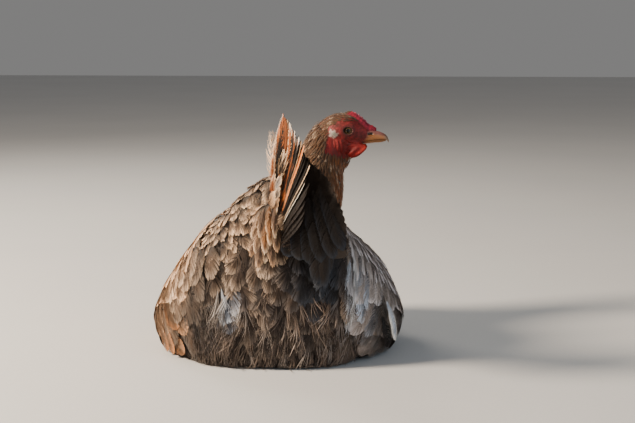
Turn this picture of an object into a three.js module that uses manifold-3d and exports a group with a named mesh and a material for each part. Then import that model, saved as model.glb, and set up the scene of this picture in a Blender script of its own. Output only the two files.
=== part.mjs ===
// A brooding hen, life size, in millimetres: she sits on the floor with both wings drooped round her,
// her tail raised as a tent and swung to her right, and her head turned to look over her right side.
// +Z is up, she faces -Y, her left is +X, and the origin is on the floor under the middle of her belly.
import * as THREE from "three";
import { mergeVertices } from "three/addons/utils/BufferGeometryUtils.js";
import Module from "manifold-3d";

const wasm = await Module();
wasm.setup();

// ---------- Driving dimensions ----------

const GAP = 0.3; // clearance that neighbouring parts keep
const SLOPE_GAP = 0.42; // growth that leaves GAP on surfaces that lean away from the loft's own sections
const FLOOR = 0;
const LOWEST_TIP = 1; // feather tips stay this far above the floor
const SIDES = [-1, 1]; // her right and her left
const WELD = 1e-4; // points closer than this are one

// The body with its folded wings, as cross sections from breast to rump.
// y: station, top: back line, width: half width, waist: height of the widest line,
// under: underside, flat: half width of the underside, arch: roundness of the upper half.
const BODY = [
  { y: -131, top: 78, width: 7, waist: 70, under: 63, flat: 3, arch: 1.9 },
  { y: -124, top: 104, width: 40, waist: 68, under: 34, flat: 20, arch: 1.9 },
  { y: -108, top: 124, width: 71, waist: 60, under: 15, flat: 42, arch: 1.8 },
  { y: -82, top: 143, width: 98, waist: 50, under: 10, flat: 70, arch: 1.6 },
  { y: -56, top: 153, width: 112, waist: 43, under: 8.5, flat: 90, arch: 1.46 },
  { y: -44, top: 158, width: 118, waist: 40, under: 0, flat: 97, arch: 1.4 },
  { y: 0, top: 168, width: 125, waist: 35, under: 0, flat: 108, arch: 1.3 },
  { y: 38, top: 178, width: 120, waist: 35, under: 0, flat: 104, arch: 1.3 },
  { y: 66, top: 181, width: 105, waist: 38, under: 0, flat: 90, arch: 1.34 },
  { y: 88, top: 160, width: 86, waist: 44, under: 0, flat: 74, arch: 1.5 },
  { y: 104, top: 130, width: 64, waist: 48, under: 0, flat: 54, arch: 1.6 },
  { y: 113, top: 100, width: 38, waist: 48, under: 4, flat: 30, arch: 1.7 },
  { y: 117, top: 72, width: 10, waist: 48, under: 26, flat: 6, arch: 1.8 },
];
const BODY_MIDDLE = 2; // the body's middle line lies this far to her left of the belly's middle
const BODY_STATIONS = 18;
const BODY_UPPER_STEPS = 8; // facets from the back line to the widest line, each side
const BODY_LOWER_STEPS = 4; // facets from the widest line to the underside, each side
const FLAT_LIMIT = 0.92; // the underside's flat is never wider than this share of the body

// The folded wing: the part of the body's side that it takes.
const WING = {
  front: -88, // shoulder
  rear: 98, // tips of the folded flight feathers
  topFront: 88, // height of the upper edge over the shoulder
  topRear: 126, // height of the upper edge at the rear
  edge: 3.5, // thickness along its margin
  depth: 21, // thickness in the middle
  droop: 0.72, // height of the upper edge at either end, as a share of the line between those two
  fade: 45, // height below the upper edge over which the thickness grows
  blunt: 0.55, // how soon it grows from either end
  past: 12, // how far the room that the wing takes runs above its upper edge
  core: 3.2, // how far the wing's flesh lies inside the feathers
  shoulder: 1, // the same over the shoulder, which has small feathers only
  shoulderLap: 8, // how far the shoulder's flesh runs over the roots of the coverts
};

// The wing's feathers in tiers, lowest first: each runs over the body's side from a line of roots to a
// line of tips, given at its lower front and its upper rear end as [y, z]. lift: how far its tip stands
// out from the body's surface.
const WING_TIERS = [
  {
    name: "primaries", count: 4, width: 11, lift: -1, sweep: 3, segments: 4,
    roots: [[-16, 14], [46, 24]], tips: [[14, 3], [90, 12]],
  },
  {
    name: "secondaries", count: 6, width: 13, lift: 0, sweep: 4, segments: 4,
    roots: [[-44, 26], [44, 82]], tips: [[-10, 5], [94, 36]],
  },
  {
    name: "coverts", count: 6, width: 13, lift: 0.8, sweep: 3, segments: 3,
    roots: [[-62, 42], [20, 110]], tips: [[-36, 18], [72, 68]],
  },
];
const WING_VANE = { rib: 0.5, edge: 0.27, quill: 0.4, tilt: 1.3, sink: 2 };
const WING_RISE = 0.4; // share of a wing feather's length over which it rises out of the flesh
const WING_ROOM_STEPS = 8;

// The neck: centre line from inside the shoulders to the nape, with the radius across and along the bird.
const NECK = [
  { at: [-6, -40, 92], across: 50, along: 46 },
  { at: [-16, -56, 124], across: 43, along: 42 },
  { at: [-26, -70, 150], across: 34, along: 36 },
  { at: [-32, -77, 171], across: 27.5, along: 29 },
  { at: [-38.5, -79, 187], across: 26, along: 22 },
  { at: [-43.5, -80, 201], across: 22, along: 18 },
  { at: [-53, -80, 210], across: 15, along: 12.5 },
];
const NECK_SIDES = 18;
const NECK_STATIONS = 11;

// The head has its own frame: x forward to the bill, y to its left, z up, origin midway between the eyes.
const HEAD_AT = [-65, -80, 212];
const HEAD_PITCH = 7.5; // degrees, bill down
const HEAD_TURN = 90; // degrees from the body's heading to the bird's right
// x: station, top and base: upper and lower outline, width: half width, high: height of the widest line.
const HEAD = [
  { x: -25, top: 8, base: -9, width: 7, high: -1 },
  { x: -22, top: 11.5, base: -13, width: 12, high: -2 },
  { x: -14, top: 15.4, base: -17.5, width: 15.4, high: -2 },
  { x: -5, top: 16.6, base: -18.6, width: 15.6, high: -1 },
  { x: 3, top: 15.4, base: -18, width: 13.6, high: -1 },
  { x: 10, top: 11.6, base: -16, width: 10.6, high: -2 },
  { x: 16, top: 8, base: -14, width: 8.2, high: -3 },
  { x: 20, top: 5, base: -13, width: 6.4, high: -3.5 },
];
const HEAD_SIDES = 24;
const HEAD_STATIONS = 16;

const EYE = { x: 0, side: 9.6, z: 0, radius: 5 };
const LID = { radius: 6.4, openLong: 4.7, openHigh: 3.6 };

// The bill's outlines along it. ridge: top, gape: line of the mouth, keel: underside, width: half width.
const BILL = [
  { x: 11, ridge: 5.4, gape: -9, keel: -14, width: 6.9 },
  { x: 20, ridge: 4.2, gape: -8, keel: -13.4, width: 6.6 },
  { x: 29, ridge: 2.7, gape: -6.2, keel: -12, width: 5.4 },
  { x: 36, ridge: 0.4, gape: -5, keel: -10.2, width: 4 },
  { x: 41, ridge: -3, gape: -5.4, keel: -8.2, width: 2.4 },
  { x: 44.5, ridge: -7.4, gape: -8.8, keel: -8.9, width: 0.7 },
];
const BILL_LOWER = { tip: 40.5, width: 0.9, blunt: 0.8 };
const BILL_ROUND = 0.8; // how full the bill's cross section is
const BILL_RINGS = 9;
const BILL_SIDES = 8;
const NOSTRIL = { x: 25, side: 5.4, z: -0.4, long: 2.8, deep: 1.8, high: 1.1 };
// A low comb along the forehead: three rows of small knobs that have grown together.
const COMB = { from: -6, to: 30, width: 5.4, height: 4.4, sink: 1.6, knobs: 6, knob: 0.14, rows: 0.1 };
const COMB_STATIONS = 16;
const COMB_SIDES = 8;
const WATTLE = {
  x: 10.5,
  side: 7.5,
  topZ: -12.5,
  drop: 17.5,
  long: 10.5,
  thick: 2.2,
  narrow: 0.8, // its length at the top as a share of that below
  splay: 1.7, // how far its middle stands out to the side
  lean: 2.5, // how far its lower edge lies back
  fold: 0.5, // depth of its folds
  rings: 9,
  sides: 12,
};
const EAR_LOBE = { x: -14.5, side: 15.6, z: -6.5, long: 3.9, high: 4.6, thick: 2 };
const CHEEK = { x: -9, side: 11.5, z: -15.5, long: 8, high: 7.2, thick: 5.2 };

// The tail: a flesh stub with a fan of feathers on each side, that lean together as a tent.
const TAIL_BASE = {
  from: [0, 70, 118],
  to: [-9, 112, 152],
  radius: 27,
  tip: 13,
  blunt: 0.75, // how round its end is
  flat: 0.85, // its height as a share of its width
  rings: 6,
  sides: 14,
};
const TAIL_RIDGE_AT = [-9, 96, 0]; // a point of the tent's middle plane
const TAIL_RIDGE_YAW = 24; // degrees that the plane is swung to the bird's right
const RECTRIX = { width: 14.5, rib: 0.75, edge: 0.3, quill: 0.16, camber: 0.04, bow: 3, segments: 4 };
const TAIL_STACK = 0.65; // each feather lies this much deeper than the one above it
const TAIL_TURN = 1.2; // how soon down the wall its outer direction settles
const TAIL_TILT = 0.2; // slope of each feather's face, its lower edge standing out over the next feather
// Coverts lie on each wall's outer face: every one covers the lower part of a flight feather.
const TAIL_COVERT = { width: 15, rib: 0.6, edge: 0.28, quill: 0.3, camber: 0.08, bow: 2, segments: 3 };
const TAIL_COVERT_LONG = [0.6, 0.5]; // length as a share of the flight feather's, at the ridge and below
const TAIL_COVERT_STAND = 4.2; // how far its tip stands out from the flight feathers
const TAIL_COVERTS = 3; // on each wall
// Flesh that holds the quills: it wraps the stub's end, behind a height of y.
const TAIL_COLLAR = { grow: 3.6, from: 90 };
// Feather tips from the ridge down each wall, the line of their roots, the wall's outer direction at the
// ridge and below, and which of a feather's edges faces down the wall.
const TAIL_WALLS = {
  left: {
    lower: -1,
    outFirst: [0.5, 0.86, 0.1],
    outLast: [0.9, 0.36, 0.2],
    roots: { first: [-4, 94, 140], last: [0, 98, 116] },
    tips: [
      [-17, 148, 245],
      [-25, 154, 233],
      [-33, 160, 220],
      [-38, 166, 205],
      [-38, 172, 189],
      [-34, 178, 173],
      [-29, 182, 156],
    ],
  },
  right: {
    lower: 1,
    outFirst: [-0.5, -0.82, 0.25],
    outLast: [-0.86, -0.2, 0.4],
    roots: { first: [-12, 94, 140], last: [-20, 99, 112] },
    tips: [
      [-27, 150, 223],
      [-39, 153, 206],
      [-49, 155, 197],
      [-58, 156, 190],
      [-66, 156, 176],
      [-72, 153, 160],
      [-77, 146, 141],
      [-78, 138, 121],
    ],
  },
};

// Legs folded under her: the shank lies along the floor and the toes reach out under the breast.
const LEG = {
  hock: [34, 10, 9],
  foot: [38, -78, 8.5],
  shank: 6.6,
  toe: 4.6,
  sole: 1.1, // depth of the flat each bottom rests on
  swell: 1.15, // the hock's radius as a share of the shank's
  taper: 0.72, // the toe's end as a share of its radius at the foot
};
const LIMB_END = { past: 0.6, radius: 0.55 }; // a limb's rounded end, as shares of its radius
const TOES = [
  { yaw: -32, long: 36 },
  { yaw: -6, long: 46 },
  { yaw: 20, long: 38 },
  { yaw: 150, long: 20 },
];
const TOE_RISE = 0.6; // how much higher a toe lies at the foot
const CLAW_RISE = 0.6; // how much higher a claw's root lies than the toe's middle
const CLAW_LONG = 9;
const CLAW_THICK = { root: 2.3, tip: 0.35 };
const CLAW_ROOT = 3; // how far the claw reaches back over its toe's end

// ---------- Colours ----------

const LOOKS = {
  feather: { color: 0xb08d66, roughness: 0.85 },
  wing: { color: 0xb98756, roughness: 0.8 },
  tail: { color: 0x3a2a20, roughness: 0.7 },
  neck: { color: 0x9a6432, roughness: 0.85 },
  face: { color: 0xa83224, roughness: 0.6 },
  comb: { color: 0xa12332, roughness: 0.55 },
  wattle: { color: 0xb32a24, roughness: 0.55 },
  lobe: { color: 0xd9cfc8, roughness: 0.7 },
  bill: { color: 0xb98d4e, roughness: 0.45 },
  iris: { color: 0x4a2f14, roughness: 0.1 },
  leg: { color: 0xc2a04a, roughness: 0.6 },
  claw: { color: 0x6f5a40, roughness: 0.45 },
};

// ---------- Numbers and curves ----------

const V = (x, y, z) => new THREE.Vector3(x, y, z);
const vec = (list) => new THREE.Vector3(...list);
const lerp = THREE.MathUtils.lerp;
const clamp = THREE.MathUtils.clamp;
const rad = THREE.MathUtils.degToRad;
const bump = (t) => Math.sin(Math.PI * clamp(t, 0, 1));
const smooth = (t) => THREE.MathUtils.smoothstep(t, 0, 1);

// Catmull-Rom value through a table's rows at the key's value k.
function tableAt(table, key, name, k) {
  let i = 0;
  while (i < table.length - 2 && k > table[i + 1][key]) i++;
  const row = (j) => table[clamp(j, 0, table.length - 1)];
  const [a, b, c, d] = [row(i - 1), row(i), row(i + 1), row(i + 2)];
  const span = c[key] - b[key];
  const u = clamp((k - b[key]) / span, 0, 1);
  const slopeB = ((c[name] - a[name]) / (c[key] - a[key] || span)) * span;
  const slopeC = ((d[name] - b[name]) / (d[key] - b[key] || span)) * span;
  const u2 = u * u;
  const u3 = u2 * u;
  return (
    (2 * u3 - 3 * u2 + 1) * b[name] +
    (u3 - 2 * u2 + u) * slopeB +
    (3 * u2 - 2 * u3) * c[name] +
    (u3 - u2) * slopeC
  );
}

// Stations from first to last that crowd towards both ends, where the form rounds off.
const CROWDING = 0.75;
function stations(first, last, count) {
  return Array.from({ length: count + 1 }, (_, i) => {
    const t = i / count;
    const crowded = 0.5 - 0.5 * Math.cos(Math.PI * t);
    return lerp(first, last, lerp(t, crowded, CROWDING));
  });
}

// ---------- Closed meshes ----------

function geometryOf(points, faces) {
  const geometry = new THREE.BufferGeometry();
  geometry.setAttribute(
    "position",
    new THREE.Float32BufferAttribute(points.flatMap((p) => [p.x, p.y, p.z]), 3),
  );
  geometry.setIndex(faces.flat());
  return geometry;
}

function signedVolume(points, faces) {
  const cross = new THREE.Vector3();
  return faces.reduce((sum, [a, b, c]) => {
    cross.crossVectors(points[b], points[c]);
    return sum + points[a].dot(cross) / 6;
  }, 0);
}

// A solid from points and triangles, turned to face out.
function closed(points, faces) {
  const outward = signedVolume(points, faces) > 0 ? faces : faces.map(([a, b, c]) => [a, c, b]);
  return solid(geometryOf(points, outward));
}

function solid(geometry) {
  const bare = geometry.clone();
  bare.deleteAttribute("normal");
  bare.deleteAttribute("uv");
  const merged = mergeVertices(bare, WELD);
  return new wasm.Manifold(
    new wasm.Mesh({
      numProp: 3,
      vertProperties: new Float32Array(merged.getAttribute("position").array),
      triVerts: new Uint32Array(merged.index.array),
    }),
  );
}

// Rings of points skinned in order, each end closed by a fan to its middle.
function loft(rings) {
  const sides = rings[0].length;
  const points = rings.flat();
  const faces = [];
  for (let i = 0; i < rings.length - 1; i++) {
    for (let j = 0; j < sides; j++) {
      const k = (j + 1) % sides;
      const [a, b] = [i * sides + j, i * sides + k];
      faces.push([a, b, b + sides], [a, b + sides, a + sides]);
    }
  }
  for (const [ring, start] of [
    [rings[0], 0],
    [rings.at(-1), (rings.length - 1) * sides],
  ]) {
    const middle = points.length;
    points.push(ring.reduce((sum, p) => sum.add(p), V(0, 0, 0)).divideScalar(sides));
    for (let j = 0; j < sides; j++) {
      const [a, b] = [start + j, start + ((j + 1) % sides)];
      faces.push(start === 0 ? [middle, b, a] : [middle, a, b]);
    }
  }
  return closed(points, faces);
}

const ball = (x, y, z, sides = 16, rings = 10) =>
  solid(new THREE.SphereGeometry(1, sides, rings).scale(x, y, z));

function placed(form, matrix) {
  return form.transform(matrix.toArray());
}

const moved = (form, x, y, z) => form.translate([x, y, z]);

const joined = (forms) => forms.reduce((sum, form) => sum.add(form));

// The largest closed surface of a solid, which fills sealed hollows and drops loose scraps.
function largest(form) {
  const pieces = form.decompose();
  return pieces.reduce((best, piece) => (piece.volume() > best.volume() ? piece : best));
}

// A box far larger than the bird on the side of a plane that its outward direction points away from.
const FAR = 900;
function halfSpace(point, outward) {
  const facing = outward.clone().normalize();
  const turn = new THREE.Quaternion().setFromUnitVectors(V(0, 0, 1), facing);
  const middle = point.clone().addScaledVector(facing, -FAR / 2);
  const matrix = new THREE.Matrix4().compose(middle, turn, V(1, 1, 1));
  return placed(solid(new THREE.BoxGeometry(FAR, FAR, FAR)), matrix);
}

const aboveFloor = halfSpace(V(0, 0, FLOOR), V(0, 0, -1));

// ---------- Feathers ----------

const TIP_CROWDING = 1.6; // how closely a vane's rows follow each other towards its tip
const TIP_THIN = 0.5; // a vane's thickness at its tip, as a share of that at its root
const BLADE_FULL = 0.45; // share of its length at which a vane reaches its full width
const BLADE_TIP = { cut: 0.88, power: 7 }; // how blunt a vane's tip is

// A vane from a grid of three columns (edge, rib, edge) along its length, given by place(t, side), which
// returns a point on its middle surface and the surface's direction out. Both faces are split alike.
function vane(place, { segments, rib, edge }) {
  const points = [];
  const faces = [];
  for (let i = 0; i <= segments; i++) {
    const t = 1 - Math.pow(1 - i / segments, TIP_CROWDING);
    const thin = lerp(1, TIP_THIN, t);
    for (const side of [-1, 0, 1]) {
      const { at, out } = place(t, side);
      const half = (side === 0 ? rib : edge) * thin;
      for (const face of [half, -half]) points.push(at.clone().addScaledVector(out, face));
    }
  }
  const index = (row, column, face) => (row * 3 + column) * 2 + face;
  for (let i = 0; i < segments; i++) {
    for (const column of [0, 1]) {
      const far = column === 0 ? [0, 1] : [1, 0];
      for (const face of [0, 1]) {
        const [a, b] = [index(i, column + far[0], face), index(i, column + far[1], face)];
        const [c, d] = [index(i + 1, column + far[0], face), index(i + 1, column + far[1], face)];
        const turned = (face === 0) === (column === 0);
        faces.push(turned ? [a, b, d] : [a, d, b], turned ? [a, d, c] : [a, c, d]);
      }
    }
    for (const column of [0, 2]) {
      const [a, b] = [index(i, column, 0), index(i, column, 1)];
      const [c, d] = [index(i + 1, column, 0), index(i + 1, column, 1)];
      faces.push(...(column === 0 ? [[a, c, d], [a, d, b]] : [[a, d, c], [a, b, d]]));
    }
  }
  for (const row of [0, segments]) {
    for (const column of [0, 1]) {
      const [a, b] = [index(row, column, 0), index(row, column, 1)];
      const [c, d] = [index(row, column + 1, 0), index(row, column + 1, 1)];
      faces.push(...(row === 0 ? [[a, b, d], [a, d, c]] : [[a, d, b], [a, c, d]]));
    }
  }
  return closed(points, faces);
}

// Half width along a feather, as a share of its greatest: narrow quill, full blade, round tip.
function bladeWidth(t, quill) {
  const tip = Math.pow(clamp(t, 0, 1), BLADE_TIP.power) * BLADE_TIP.cut;
  return lerp(quill, 1, smooth(t / BLADE_FULL)) * Math.sqrt(1 - tip);
}

// A feather held free in space: it bends from root to tip and its face looks out.
function freeVane({ root, tip, out, width, quill, bow, camber, tilt, ...shape }) {
  const along = tip.clone().sub(root);
  const length = along.length();
  along.normalize();
  const across = new THREE.Vector3().crossVectors(out, along).normalize();
  const face = new THREE.Vector3().crossVectors(along, across).normalize();
  const place = (t, side) => {
    const at = root.clone().addScaledVector(along, t * length);
    const half = width * bladeWidth(t, quill);
    at.addScaledVector(face, bow * bump(t) + half * (tilt * side - camber * Math.abs(side)));
    at.addScaledVector(across, side * half);
    return { at, out: face };
  };
  return vane(place, shape);
}

// ---------- The body ----------

const bodyValue = (name, y) => tableAt(BODY, "y", name, y);

const bodyStations = stations(BODY[0].y, BODY.at(-1).y, BODY_STATIONS);

// A closed cross section of the body at a station, shrunk by an inset, or grown by a negative one.
function bodySection(y, inset = 0) {
  const top = bodyValue("top", y) - inset;
  const width = Math.max(bodyValue("width", y) - inset, 0.5);
  const waist = bodyValue("waist", y);
  const under = Math.max(bodyValue("under", y), FLOOR);
  const flat = Math.max(Math.min(bodyValue("flat", y), width * FLAT_LIMIT) - inset, 0.3);
  const power = 2 / bodyValue("arch", y);
  const half = [];
  for (let i = 0; i <= BODY_UPPER_STEPS; i++) {
    const a = ((i / BODY_UPPER_STEPS) * Math.PI) / 2;
    const rise = (top - waist) * Math.pow(Math.cos(a), power);
    half.push([width * Math.pow(Math.sin(a), power), waist + rise]);
  }
  for (let i = 1; i <= BODY_LOWER_STEPS; i++) {
    const a = ((i / BODY_LOWER_STEPS) * Math.PI) / 2;
    half.push([flat + (width - flat) * Math.cos(a), waist + (under - waist) * Math.sin(a)]);
  }
  const right = half.slice(1).reverse();
  const [left, rightSide] = [1, -1].map((side) => ([x, z]) => V(BODY_MIDDLE + side * x, y, z));
  return [...half.map(left), ...right.map(rightSide)];
}

function bodyForm(inset = 0) {
  const [first, last] = [bodyStations[0], bodyStations.at(-1)];
  return loft(
    bodyStations.map((y) => {
      const shift = lerp(inset, -inset, (y - first) / (last - first));
      return bodySection(y, inset).map((p) => p.setY(y + shift));
    }),
  );
}

// Half width of the body's outer surface at a station and a height.
function sideOf(y, z) {
  const width = bodyValue("width", y);
  const waist = bodyValue("waist", y);
  if (z >= waist) {
    const arch = bodyValue("arch", y);
    const rise = clamp((z - waist) / (bodyValue("top", y) - waist), 0, 1);
    return width * Math.pow(1 - Math.pow(rise, arch), 1 / arch);
  }
  const flat = Math.min(bodyValue("flat", y), width * FLAT_LIMIT);
  const under = bodyValue("under", y);
  const fall = clamp((waist - z) / (waist - under), 0, 1);
  return flat + (width - flat) * Math.sqrt(1 - fall * fall);
}

// ---------- The wings ----------

const wingShare = (y) => clamp((y - WING.front) / (WING.rear - WING.front), 0, 1);

// Height of the wing's upper edge.
function wingTop(y) {
  const straight = lerp(WING.topFront, WING.topRear, wingShare(y));
  return straight * lerp(WING.droop, 1, Math.sqrt(bump(wingShare(y))));
}

// How deep the wing lies in the body's side.
function wingDepth(y, z) {
  const fromTop = clamp((wingTop(y) - z) / WING.fade, 0, 1);
  const lengthwise = Math.pow(bump(wingShare(y)), WING.blunt);
  return WING.edge + (WING.depth - WING.edge) * smooth(fromTop) * lengthwise;
}

// The room that one wing takes: from its inner face outwards. side is 1 on the left and -1 on the right.
function wingRoom(side, grow = 0) {
  const outer = side * (FAR / 4);
  const below = FLOOR - 20;
  const inside = bodyStations.filter((y) => y > WING.front + 2 && y < WING.rear - 2);
  const rings = [WING.front, ...inside, WING.rear].map((y) => {
    const shifted = y + lerp(-grow, grow, wingShare(y));
    const top = wingTop(y);
    const ring = [V(outer, shifted, below), V(outer, shifted, top + WING.past + grow)];
    for (let i = 0; i <= WING_ROOM_STEPS; i++) {
      const t = i / WING_ROOM_STEPS;
      const z = lerp(top, FLOOR, t);
      const inner = sideOf(y, Math.max(z, 0.5)) - wingDepth(y, z) - grow;
      ring.push(V(BODY_MIDDLE + side * inner, shifted, z + grow * (1 - t)));
    }
    ring.push(V(ring.at(-1).x, shifted, below));
    return ring;
  });
  return loft(rings);
}

// A point on the body's side at a station and a height, stood off by lift, with its direction out.
function sidePoint(side, y, z, lift) {
  const height = Math.max(z, FLOOR + LOWEST_TIP);
  const step = 1.5;
  const steepest = 1.6;
  const slopeY = (sideOf(y + step, height) - sideOf(y - step, height)) / (2 * step);
  const slopeZ = (sideOf(y, height + step) - sideOf(y, height - step)) / (2 * step);
  const out = V(side, -slopeY, -clamp(slopeZ, -steepest, steepest)).normalize();
  const at = V(BODY_MIDDLE + side * sideOf(y, height), y, height).addScaledVector(out, lift);
  at.z = Math.max(at.z, FLOOR + LOWEST_TIP);
  return { at, out };
}

// A feather that follows the body's side between two [y, z] places.
function sideVane(side, { root, tip, width, lift, sweep, rootLift, tilt, ...shape }) {
  const [dy, dz] = [tip[0] - root[0], tip[1] - root[1]];
  const long = Math.hypot(dy, dz);
  const [acrossY, acrossZ] = [-dz / long, dy / long];
  const place = (t, edge) => {
    const off = edge * width * bladeWidth(t, WING_VANE.quill) + sweep * bump(t);
    const y = root[0] + dy * t + acrossY * off;
    const z = root[1] + dz * t + acrossZ * off;
    const stand = lerp(rootLift, lift, smooth(t / WING_RISE)) - tilt * edge;
    return sidePoint(side, y, z, stand);
  };
  return vane(place, shape);
}

function wingTier(side, tier) {
  const between = ([low, high], share) => low.map((value, k) => lerp(value, high[k], share));
  return Array.from({ length: tier.count }, (_, i) => {
    const share = i / (tier.count - 1);
    return sideVane(side, {
      root: between(tier.roots, share),
      tip: between(tier.tips, share),
      width: tier.width,
      sweep: tier.sweep,
      lift: tier.lift,
      tilt: WING_VANE.tilt,
      rootLift: -WING.core - WING_VANE.sink,
      segments: tier.segments,
      rib: WING_VANE.rib,
      edge: WING_VANE.edge,
    });
  });
}

function makeWing(side) {
  const room = wingRoom(side);
  const [low, high] = WING_TIERS.at(-1).roots;
  const ahead = V(0, low[1] - high[1], high[0] - low[0]);
  const shoulder = halfSpace(V(0, low[0] + WING.shoulderLap, low[1]), ahead.negate());
  const flesh = bodyForm(WING.core).add(bodyForm(WING.shoulder).intersect(shoulder));
  const feathers = WING_TIERS.flatMap((tier) => wingTier(side, tier));
  return joined([flesh, ...feathers]).intersect(room);
}

// ---------- The neck ----------

const neckCurve = new THREE.CatmullRomCurve3(NECK.map(({ at }) => vec(at)));
const neckKeys = NECK.map(({ across, along }, i) => ({ t: i / (NECK.length - 1), across, along }));

function neckForm(grow = 0) {
  const rings = [];
  for (let i = 0; i <= NECK_STATIONS; i++) {
    const t = i / NECK_STATIONS;
    const at = neckCurve.getPoint(t);
    const up = neckCurve.getTangent(t);
    const across = new THREE.Vector3().crossVectors(V(0, -1, 0), up).normalize();
    const along = new THREE.Vector3().crossVectors(up, across).normalize();
    const [a, b] = ["across", "along"].map((name) => tableAt(neckKeys, "t", name, t) + grow);
    const ring = Array.from({ length: NECK_SIDES }, (_, j) => {
      const angle = (j / NECK_SIDES) * 2 * Math.PI;
      const point = at.clone().addScaledVector(across, a * Math.cos(angle));
      return point.addScaledVector(along, b * Math.sin(angle));
    });
    rings.push(ring);
  }
  return loft(rings);
}

// ---------- The head ----------

const headFrame = new THREE.Matrix4()
  .makeTranslation(...HEAD_AT)
  .multiply(new THREE.Matrix4().makeRotationZ(rad(-90 - HEAD_TURN)))
  .multiply(new THREE.Matrix4().makeRotationY(rad(HEAD_PITCH)));

const onHead = (form) => placed(form, headFrame);

// The skull and its skin in the head's frame.
function headForm(grow = 0) {
  const value = (name, x) => tableAt(HEAD, "x", name, x);
  const rings = stations(HEAD[0].x - grow, HEAD.at(-1).x + grow, HEAD_STATIONS).map((x) => {
    const high = value("high", x);
    return Array.from({ length: HEAD_SIDES }, (_, j) => {
      const angle = (j / HEAD_SIDES) * 2 * Math.PI;
      const rise = Math.sin(angle);
      const reach = rise > 0 ? value("top", x) - high + grow : high - value("base", x) + grow;
      return V(x, (value("width", x) + grow) * Math.cos(angle), high + reach * rise);
    });
  });
  return loft(rings);
}

const eyeAt = (side, form) => moved(form, EYE.x, side * EYE.side, EYE.z);

// A ring of lid round each eye, open in an almond.
function lidForm(side) {
  return eyeAt(side, ball(LID.radius, LID.radius, LID.radius, 14, 8));
}

// What the lids leave open: an almond over each eye.
const lidOpening = (side) =>
  moved(ball(LID.openLong, LID.radius, LID.openHigh, 14, 6), EYE.x, side * (EYE.side + LID.radius), EYE.z);

const cheekForm = (side, grow = 0) =>
  moved(
    ball(CHEEK.long + grow, CHEEK.thick + grow, CHEEK.high + grow, 12, 8),
    CHEEK.x,
    side * CHEEK.side,
    CHEEK.z,
  );

function makeHead() {
  let head = headForm();
  for (const side of SIDES) {
    head = head.add(lidForm(side)).add(cheekForm(side));
    const socket = EYE.radius + GAP;
    head = head.subtract(eyeAt(side, ball(socket, socket, socket, 14, 8))).subtract(lidOpening(side));
  }
  return head;
}

// Height of the forehead ahead of the skull, where it slopes down onto the bill.
const headTopOver = (x) => tableAt(HEAD, "x", "top", Math.min(x, HEAD.at(-1).x));

// The bill halves share one gape line; each is a run of half rings from the face to its tip.
function billHalf(upper, grow = 0) {
  const value = (name, x) => tableAt(BILL, "x", name, x);
  const tip = upper ? BILL.at(-1).x : BILL_LOWER.tip;
  const rings = [];
  for (let i = 0; i <= BILL_RINGS; i++) {
    const t = i / BILL_RINGS;
    const x = lerp(BILL[0].x, tip, t);
    const taper = upper ? 1 : BILL_LOWER.width * Math.sqrt(1 - Math.pow(t, 4) * BILL_LOWER.blunt);
    const width = value("width", x) * taper + grow;
    const mouth = value("gape", x) + (upper ? GAP / 2 : -GAP / 2);
    const far = upper ? value("ridge", x) : lerp(mouth, value("keel", x), taper);
    const half = Array.from({ length: BILL_SIDES + 1 }, (_, j) => {
      const angle = (j / BILL_SIDES) * Math.PI;
      const rise = Math.pow(Math.sin(angle), BILL_ROUND);
      const swell = Math.sign(far - mouth) * grow * (2 * rise - 1);
      return V(x, width * Math.cos(angle), lerp(mouth, far, rise) + swell);
    });
    rings.push(half);
  }
  return loft(rings);
}

const nostril = (side) =>
  moved(
    ball(NOSTRIL.long, NOSTRIL.deep, NOSTRIL.high, 10, 6),
    NOSTRIL.x,
    side * NOSTRIL.side,
    NOSTRIL.z,
  );

function combForm() {
  const ridge = (x) => tableAt(BILL, "x", "ridge", x);
  const top = (x) => (x < BILL[0].x ? tableAt(HEAD, "x", "top", x) : Math.max(ridge(x), headTopOver(x)));
  const rings = Array.from({ length: COMB_STATIONS + 1 }, (_, i) => {
    const t = i / COMB_STATIONS;
    const x = lerp(COMB.from, COMB.to, t);
    const swell = Math.sqrt(bump(lerp(0.03, 0.97, t)));
    const knob = 1 + COMB.knob * Math.cos(2 * Math.PI * COMB.knobs * t);
    return Array.from({ length: COMB_SIDES }, (_, j) => {
      const angle = (j / COMB_SIDES) * 2 * Math.PI;
      const rowed = knob + COMB.rows * Math.cos(4 * (angle - Math.PI / 2));
      const across = COMB.width * swell * rowed * Math.cos(angle);
      const up = COMB.height * swell * rowed * Math.sin(angle);
      return V(x, across, top(x) - COMB.sink + up);
    });
  });
  return loft(rings);
}

function wattleForm(side, grow = 0) {
  const rings = [];
  for (let i = 0; i <= WATTLE.rings; i++) {
    const t = i / WATTLE.rings;
    const round = Math.sqrt(Math.max(bump(lerp(0.16, 1, t)), 0.004));
    const long = WATTLE.long * round * lerp(WATTLE.narrow, 1, t) + grow;
    const thick = WATTLE.thick * round + grow;
    const z = WATTLE.topZ - WATTLE.drop * t + grow * (1 - 2 * t);
    const y = side * (WATTLE.side + WATTLE.splay * bump(t * 0.8));
    rings.push(
      Array.from({ length: WATTLE.sides }, (_, j) => {
        const angle = (j / WATTLE.sides) * 2 * Math.PI;
        const fold = WATTLE.fold * Math.sin(angle * 3 + 5 * t) * bump(t);
        const x = WATTLE.x - WATTLE.lean * t + long * Math.cos(angle);
        return V(x, y + side * fold + thick * Math.sin(angle), z);
      }),
    );
  }
  return loft(rings);
}

const lobeForm = (side, grow = 0) =>
  moved(
    ball(EAR_LOBE.long + grow, EAR_LOBE.thick + grow, EAR_LOBE.high + grow, 12, 8),
    EAR_LOBE.x,
    side * EAR_LOBE.side,
    EAR_LOBE.z,
  );

// ---------- The tail ----------

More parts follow.
